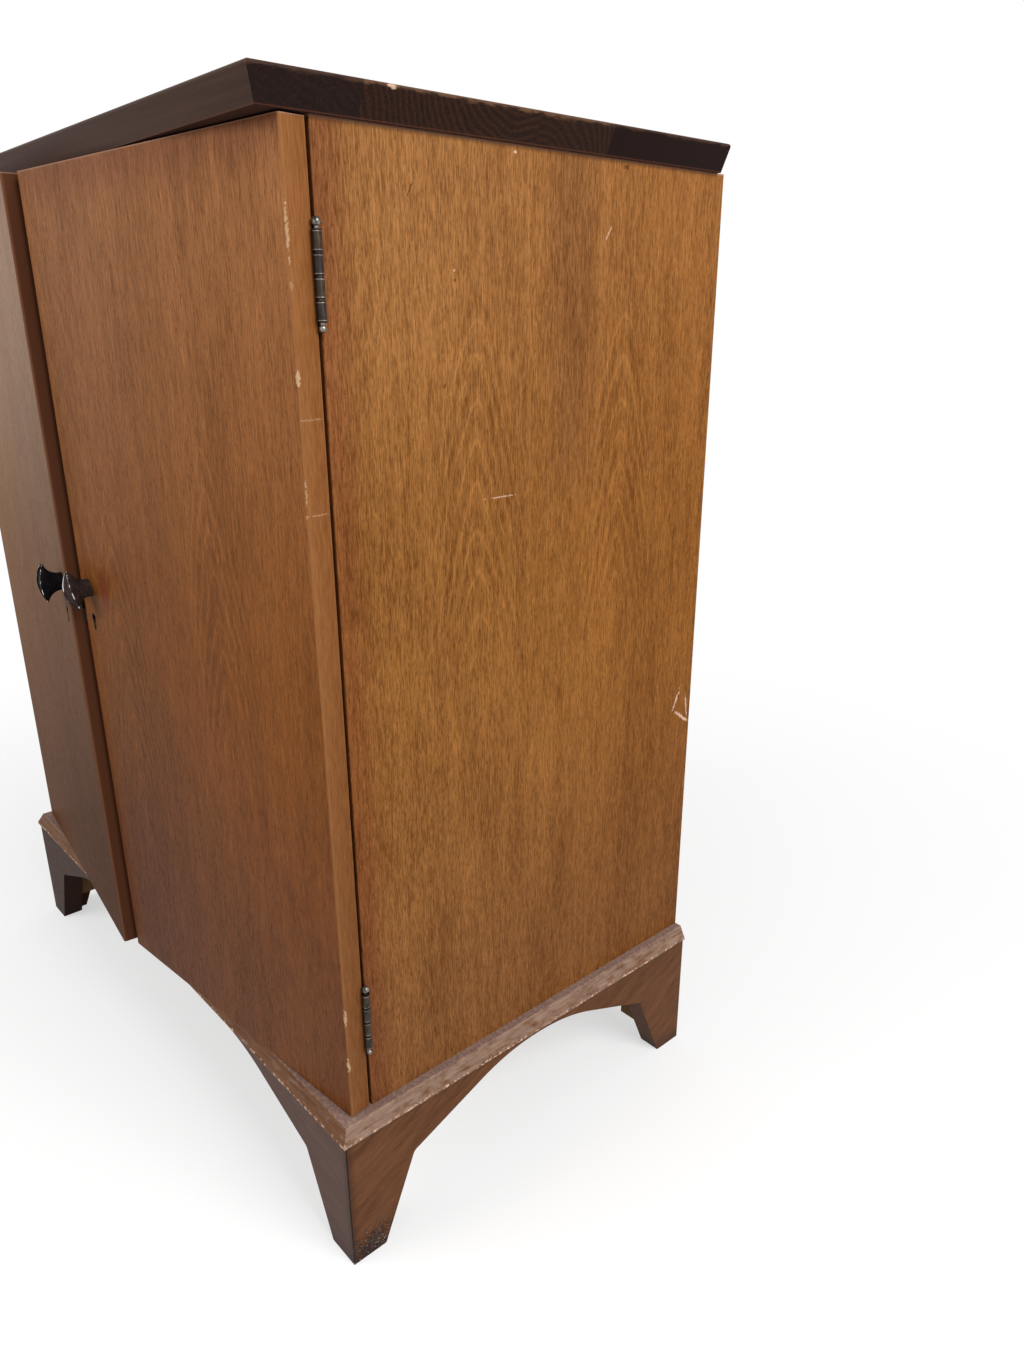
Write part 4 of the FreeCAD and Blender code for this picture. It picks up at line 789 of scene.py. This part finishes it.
BLACKENED = ((0.005, 0.005, 0.006, 1), (0.013, 0.012, 0.013, 1))
BROWNED = ((0.019, 0.012, 0.011, 1), (0.058, 0.040, 0.036, 1))
for hand, side, turn, tints, rim_wear, highlight_share in (
    # the border's outer wear, then the painted highlight on its upper inner edge, come last
    ("right", 1, RIGHT_KNOB_TURN, BROWNED, 1.0, 1.0),
    ("left", -1, 0.0, BLACKENED, 0.9, 0.0),
):
    place = door_place(hand, KNOB_X * side, SHUT_FRONT, KNOB_HEIGHT) @ Matrix.Rotation(turn, 4, "Z")
    finish = finish_knob(hand, side, turn, *tints, rim_wear, highlight_share)
    knob = make_piece(f"{hand}_knob", [(make_knob_shape(), place)], finish, f"{hand}_door")
    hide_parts(f"{hand}_door_knob")


# ----------------------------------------------------------------------------------- the hinges
# Cast brass butt hinges with an antique bronze finish, four knuckles each, ringed at their ends,
# with painted shade where they narrow to necks. The steel pins end in balls that are rubbed bright.
# Flush slotted screws hold them.

HINGE_MIDDLES = (0.2370, 0.8032)
KNUCKLE_PITCH, KNUCKLE_RADIUS, NECKED = 0.0137, 0.0032, 0.0016
CASE_KNUCKLES, DOOR_KNUCKLES = (1, 3), (0, 2)
NECK_SHADE = (0.012, 0.009, 0.008, 1)


def finish_metal(name, dark, light, rough, wear, *names, necked=False):
    """Old metal: patina with clouds of wear, and painted shade at knuckle necks if it has any."""
    finish, tree, shader = start_finish(name)
    spot = seen_from(tree)
    cloud = clouds(tree, seen_from(tree, size=(0.004, 0.004, 0.007), spot=spot), 3.0, 0.6)
    scratch = clouds(tree, seen_from(tree, size=(0.0005, 0.0005, 0.005), spot=spot), 3.0)
    share = total(tree, spread(tree, cloud, 0.0, 0.7), fade(tree, scratch, 0.35, 0.7, 0.0, 0.3))
    colour = mix(tree, share, dark, light)
    if necked:
        up = part_of(tree, spot, Z)
        upper = work_out(tree, "GREATER_THAN", up, sum(HINGE_MIDDLES) / 2)
        middle = fade(tree, upper, 0.0, 1.0, *HINGE_MIDDLES)
        from_middle = work_out(tree, "SUBTRACT", up, middle)
        from_joint = work_out(tree, "PINGPONG", from_middle, KNUCKLE_PITCH / 2)
        # painted shade at each knuckle's end, standing in for its narrow neck
        neck_shade = fade(tree, from_joint, NECKED, NECKED - 0.0005, 0.0, 0.85)
        colour = mix(tree, neck_shade, colour, NECK_SHADE)
    tree.links.new(colour, shader.inputs["Base Color"])
    tree.links.new(spread(tree, cloud, rough + 0.08, rough - 0.08), shader.inputs["Roughness"])
    shader.inputs["Metallic"].default_value = wear
    raise_grain(tree, shader, scratch, 0.00003)
    lay_on(finish, *names)
    return finish


def lathe(profile, steps):
    """A turned shape about Z from its (radius, height) profile."""
    shape = bmesh.new()
    points = [shape.verts.new((radius, 0, height)) for radius, height in profile]
    for first, second in zip(points, points[1:]):
        shape.edges.new((first, second))
    bmesh.ops.spin(
        shape, geom=shape.verts[:] + shape.edges[:], cent=(0, 0, 0), axis=(0, 0, 1),
        angle=math.tau, steps=steps, use_merge=True,
    )
    bmesh.ops.remove_doubles(shape, verts=shape.verts, dist=1e-7)
    bmesh.ops.recalc_face_normals(shape, faces=shape.faces)
    return shape


SCREW_STEPS = 28


def screw_head(radius, height, slot):
    """A slotted screw head: a low dome, or nearly flat where its height is slight."""
    crown = [(0, 0), (radius, 0), (radius * 0.98, height * 0.35), (radius * 0.80, height * 0.75)]
    shape = lathe(crown + [(radius * 0.45, height * 0.95), (0, height)], SCREW_STEPS)
    for x in (-slot / 2, slot / 2):
        everything = shape.verts[:] + shape.edges[:] + shape.faces[:]
        bmesh.ops.bisect_plane(shape, geom=everything, plane_co=(x, 0, 0), plane_no=(1, 0, 0))
    floor = [
        face for face in shape.faces
        if abs(face.calc_center_median().x) < slot / 2 and face.calc_center_median().z > height * 0.3
    ]
    bmesh.ops.inset_region(shape, faces=floor, thickness=slot * 0.02, depth=-height * 0.5)
    return shape


HINGE_TINTS = {
    "case": ((0.018, 0.013, 0.012, 1), (0.050, 0.038, 0.034, 1)),
    "door": ((0.021, 0.014, 0.009, 1), (0.066, 0.046, 0.030, 1)),
}
RING_DARK, RING_LIGHT = (0.10, 0.08, 0.068, 1), (0.40, 0.34, 0.29, 1)
PIN_DARK, PIN_LIGHT = (0.020, 0.016, 0.014, 1), (0.40, 0.37, 0.34, 1)
ring_finish = finish_metal("hinge_ring_finish", RING_DARK, RING_LIGHT, 0.34, 0.85)
finish_metal("hinge_pin_finish", PIN_DARK, PIN_LIGHT, 0.28, 0.9, "right_hinge_pins", "left_hinge_pins")

RING_ROOT, RING_SHOULDER = KNUCKLE_RADIUS - 0.0003, KNUCKLE_RADIUS + 0.00014
RING_CREST, RING_HALF = KNUCKLE_RADIUS + 0.00018, 0.00022
RING_PROFILE = [
    (RING_ROOT, -RING_HALF), (RING_SHOULDER, -RING_HALF), (RING_CREST, 0),
    (RING_SHOULDER, RING_HALF), (RING_ROOT, RING_HALF), (RING_ROOT, -RING_HALF),
]
RING_STEPS = 40
LEAF_SCREW, LEAF_SCREW_SPACING = 0.357, 0.019
CASE_LEAF_FACE, DOOR_LEAF_FACE = -0.0013, -0.0015
LEAF_SCREW_SIZE = (0.0030, 0.00008, 0.0007)
for hand, side in (("right", 1), ("left", -1)):
    pin, _ = door_hang(hand)
    for leaf, own_knuckles in (("case", CASE_KNUCKLES), ("door", DOOR_KNUCKLES)):
        brass = finish_metal(
            f"{hand}_hinge_{leaf}_finish", *HINGE_TINTS[leaf], 0.42, 0.75,
            f"{hand}_hinge_{leaf}_leaves", necked=True,
        )
        carrier = "cabinet" if leaf == "case" else f"{hand}_door"
        rings, screws = [], []
        for middle in HINGE_MIDDLES:
            for index in own_knuckles:
                for end in (index, index + 1):
                    inward = NECKED if end == index else -NECKED
                    level = middle + KNUCKLE_PITCH * (2 - end) - inward
                    spot = Matrix.Translation((pin.x, pin.y, level))
                    rings.append((lathe(RING_PROFILE, RING_STEPS), spot))
            for step in (-1, 0, 1):
                level = middle + LEAF_SCREW_SPACING * step
                if leaf == "case":
                    place = case_place(LEAF_SCREW * side, CASE_LEAF_FACE, level)
                else:
                    place = door_place(hand, LEAF_SCREW * side, DOOR_LEAF_FACE, level, "back")
                screws.append((screw_head(*LEAF_SCREW_SIZE), place))
        make_piece(f"{hand}_hinge_{leaf}_rings", rings, ring_finish, carrier)
        make_piece(f"{hand}_hinge_{leaf}_screws", screws, brass, carrier)


# --------------------------------------------------------------------- lock, bolts and other screws
# The lock and the two flat sliding bolts are dull yellow brass on small brown pads, and the
# strike plate is brass darkened nearly black. Round-headed steel screws hold the back, and longer
# ones go up through rails and base.

BRASS_DARK, BRASS_LIGHT = (0.20, 0.125, 0.050, 1), (0.50, 0.35, 0.15, 1)
STRIKE_DARK, STRIKE_LIGHT = (0.020, 0.010, 0.005, 1), (0.050, 0.028, 0.014, 1)
STEEL_DARK, STEEL_LIGHT = (0.10, 0.095, 0.09, 1), (0.34, 0.32, 0.30, 1)
PAD_DARK, PAD_LIGHT = (0.12, 0.055, 0.024, 1), (0.24, 0.115, 0.052, 1)
dull_brass = finish_metal(
    "dull_brass_finish", BRASS_DARK, BRASS_LIGHT, 0.40, 0.85,
    "lock_case", "lock_bolt", "bolt_guides", "upper_bolt", "lower_bolt",
)
# the strike plate, brass darkened nearly black
dark_strike = finish_metal("strike_finish", STRIKE_DARK, STRIKE_LIGHT, 0.50, 0.5, "strike_plate")
steel = finish_metal("screw_steel_finish", STEEL_DARK, STEEL_LIGHT, 0.38, 0.9)
finish_plain_wood("bolt_pad_finish", UPRIGHT, PAD_DARK, PAD_LIGHT, "bolt_pads")

# radius, height and slot of a screw's head
KNOB_SCREW, LOCK_SCREW = (0.0040, 0.0022, 0.0010), (0.0024, 0.0006, 0.0007)
STRIKE_SCREW, BACK_SCREW = (0.0022, 0.0003, 0.0006), (0.0035, 0.0018, 0.0009)
FRAME_SCREW = (0.0042, 0.0016, 0.0010)

for hand, side in (("right", 1), ("left", -1)):
    place = door_place(hand, KNOB_X * side, SHUT_BACK, KNOB_HEIGHT, "back")
    heads = [(screw_head(*KNOB_SCREW), place)]
    make_piece(f"{hand}_knob_screw", heads, steel, f"{hand}_door")

lock_spots = ((0.0265, 0.529), (0.0265, 0.496), (0.0075, 0.496))
heads = [(screw_head(*LOCK_SCREW), door_place("right", x, SHUT_BACK, z, "back")) for x, z in lock_spots]
make_piece("lock_screws", heads, dull_brass, "right_door")

STRIKE_Y, STRIKE_HEIGHT, STRIKE_SPREAD = -0.0073, 0.525, 0.015
heads = []
for step in (-STRIKE_SPREAD, STRIKE_SPREAD):
    place = door_place("left", -HALF_MEETING_GAP, STRIKE_Y, STRIKE_HEIGHT + step, "right")
    heads.append((screw_head(*STRIKE_SCREW), place))
make_piece("strike_screws", heads, dark_strike, "left_door")

BACK_FACE = cad_box[1].y - CASE_FRONT
RAIL_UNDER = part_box("front_top_rail")[0].z
back_spots = [(x, z) for x in (-0.3525, 0.3525) for z in (0.235, 0.425, 0.615, 0.805)]
back_spots += [(x, z) for x in (-0.22, 0, 0.22) for z in (0.1565, 0.8835)]
heads = [(screw_head(*BACK_SCREW), case_place(x, BACK_FACE, z, "back")) for x, z in back_spots]
make_piece("back_screws", heads, steel, "cabinet")

base_spots = [(x, from_front) for x in (-0.22, 0, 0.22) for from_front in (0.0098, 0.357)]
base_spots += [(-0.3335, 0.2025), (0.3335, 0.2025)]
heads = [(screw_head(*FRAME_SCREW), case_place(x, y, MOULDING_UNDER, "down")) for x, y in base_spots]
rail_spots = [(x, from_front) for x in (-0.22, 0, 0.22) for from_front in (0.020, 0.369)]
heads += [(screw_head(*FRAME_SCREW), case_place(x, y, RAIL_UNDER, "down")) for x, y in rail_spots]
make_piece("frame_screws", heads, steel, "cabinet")


# ---------------------------------------------------------------------------------- the studio
# A plain pale floor and soft lamps at a plain level, with the camera at a seated person's height,
# turned down towards the right front corner.

WHITE, FLOOR_GREY = (1, 1, 1, 1), (0.36, 0.36, 0.36, 1)
FLOOR_REACH = 12
DIM_NEAR, DIM_FAR, NEAR_GLOW = 0.45, 1.5, 0.55


def seen_directly(tree):
    """1 for rays from the camera, from reflections and through glass, 0 for light that bounces."""
    looks = add(tree, "ShaderNodeLightPath").outputs
    seen = work_out(tree, "MAXIMUM", looks["Is Camera Ray"], looks["Is Glossy Ray"])
    return work_out(tree, "MAXIMUM", seen, looks["Is Transmission Ray"])


floor_finish, tree, shader = start_finish("floor_finish")
seen = seen_directly(tree)
tree.links.new(mix(tree, seen, FLOOR_GREY, WHITE), shader.inputs["Base Color"])
shader.inputs["Roughness"].default_value = 0.9
shader.inputs["Specular IOR Level"].default_value = 0.0
glow = add(tree, "ShaderNodeEmission", {"Color": WHITE, "Strength": 1.0})
away = distance(tree, seen_from(tree))
share = product(tree, seen, fade(tree, away, DIM_NEAR, DIM_FAR, NEAR_GLOW, 1.0))
both = add(tree, "ShaderNodeMixShader", {0: share, 1: shader.outputs[0], 2: glow.outputs[0]})
tree.links.new(both.outputs[0], tree.nodes["Material Output"].inputs["Surface"])
plot = bmesh.new()
bmesh.ops.create_grid(plot, x_segments=1, y_segments=1, size=FLOOR_REACH)
floor_mesh = bpy.data.meshes.new("floor")
plot.to_mesh(floor_mesh)
floor_mesh.materials.append(floor_finish)
floor = bpy.data.objects.new("floor", floor_mesh)
bpy.context.scene.collection.objects.link(floor)

ROOM_LIGHT = 0.5
world = bpy.data.worlds.new("studio")
bpy.context.scene.world = world
world.use_nodes = True
tree = world.node_tree
room = tree.nodes["Background"]
room.inputs["Color"].default_value = WHITE
room.inputs["Strength"].default_value = ROOM_LIGHT
plain = add(tree, "ShaderNodeBackground", {"Color": WHITE, "Strength": 1.0})
feeds = {0: seen_directly(tree), 1: room.outputs[0], 2: plain.outputs[0]}
both = add(tree, "ShaderNodeMixShader", feeds)
tree.links.new(both.outputs[0], tree.nodes["World Output"].inputs["Surface"])


def hang_lamp(name, place, aim, size, power):
    """A soft rectangular lamp of some watts, turned to what it is aimed at."""
    lamp = bpy.data.lights.new(name, "AREA")
    lamp.shape = "RECTANGLE"
    lamp.size, lamp.size_y = size
    lamp.energy = power
    hung = bpy.data.objects.new(name, lamp)
    hung.location = place
    hung.rotation_euler = (Vector(aim) - Vector(place)).to_track_quat("-Z", "Y").to_euler()
    bpy.context.scene.collection.objects.link(hung)


hang_lamp("side_lamp", (2.9, 0.2, 2.3), (0.2, 0, 0.6), (1.8, 1.8), 90)
hang_lamp("front_lamp", (-1.0, -3.0, 2.2), (0, -0.1, 0.5), (2.2, 1.6), 62)

SENSOR = 36
PICTURE_HEIGHT, FOCAL_PIXELS = 1365, 987.11
CAMERA_PLACE = (0.94477, -0.51564, 0.77868)
CAMERA_ROUND, CAMERA_UP, CAMERA_ROLL = (math.radians(turn) for turn in (48.143, 69.733, -0.120))
lens = bpy.data.cameras.new("camera")
lens.sensor_width = SENSOR
lens.lens = FOCAL_PIXELS / PICTURE_HEIGHT * SENSOR
camera = bpy.data.objects.new("camera", lens)
camera.matrix_world = (
    Matrix.Translation(CAMERA_PLACE)
    @ Matrix.Rotation(CAMERA_ROUND, 4, "Z")
    @ Matrix.Rotation(CAMERA_UP, 4, "X")
    @ Matrix.Rotation(CAMERA_ROLL, 4, "Z")
)
bpy.context.scene.collection.objects.link(camera)
bpy.context.scene.camera = camera
bpy.context.scene.view_settings.view_transform = "Standard"
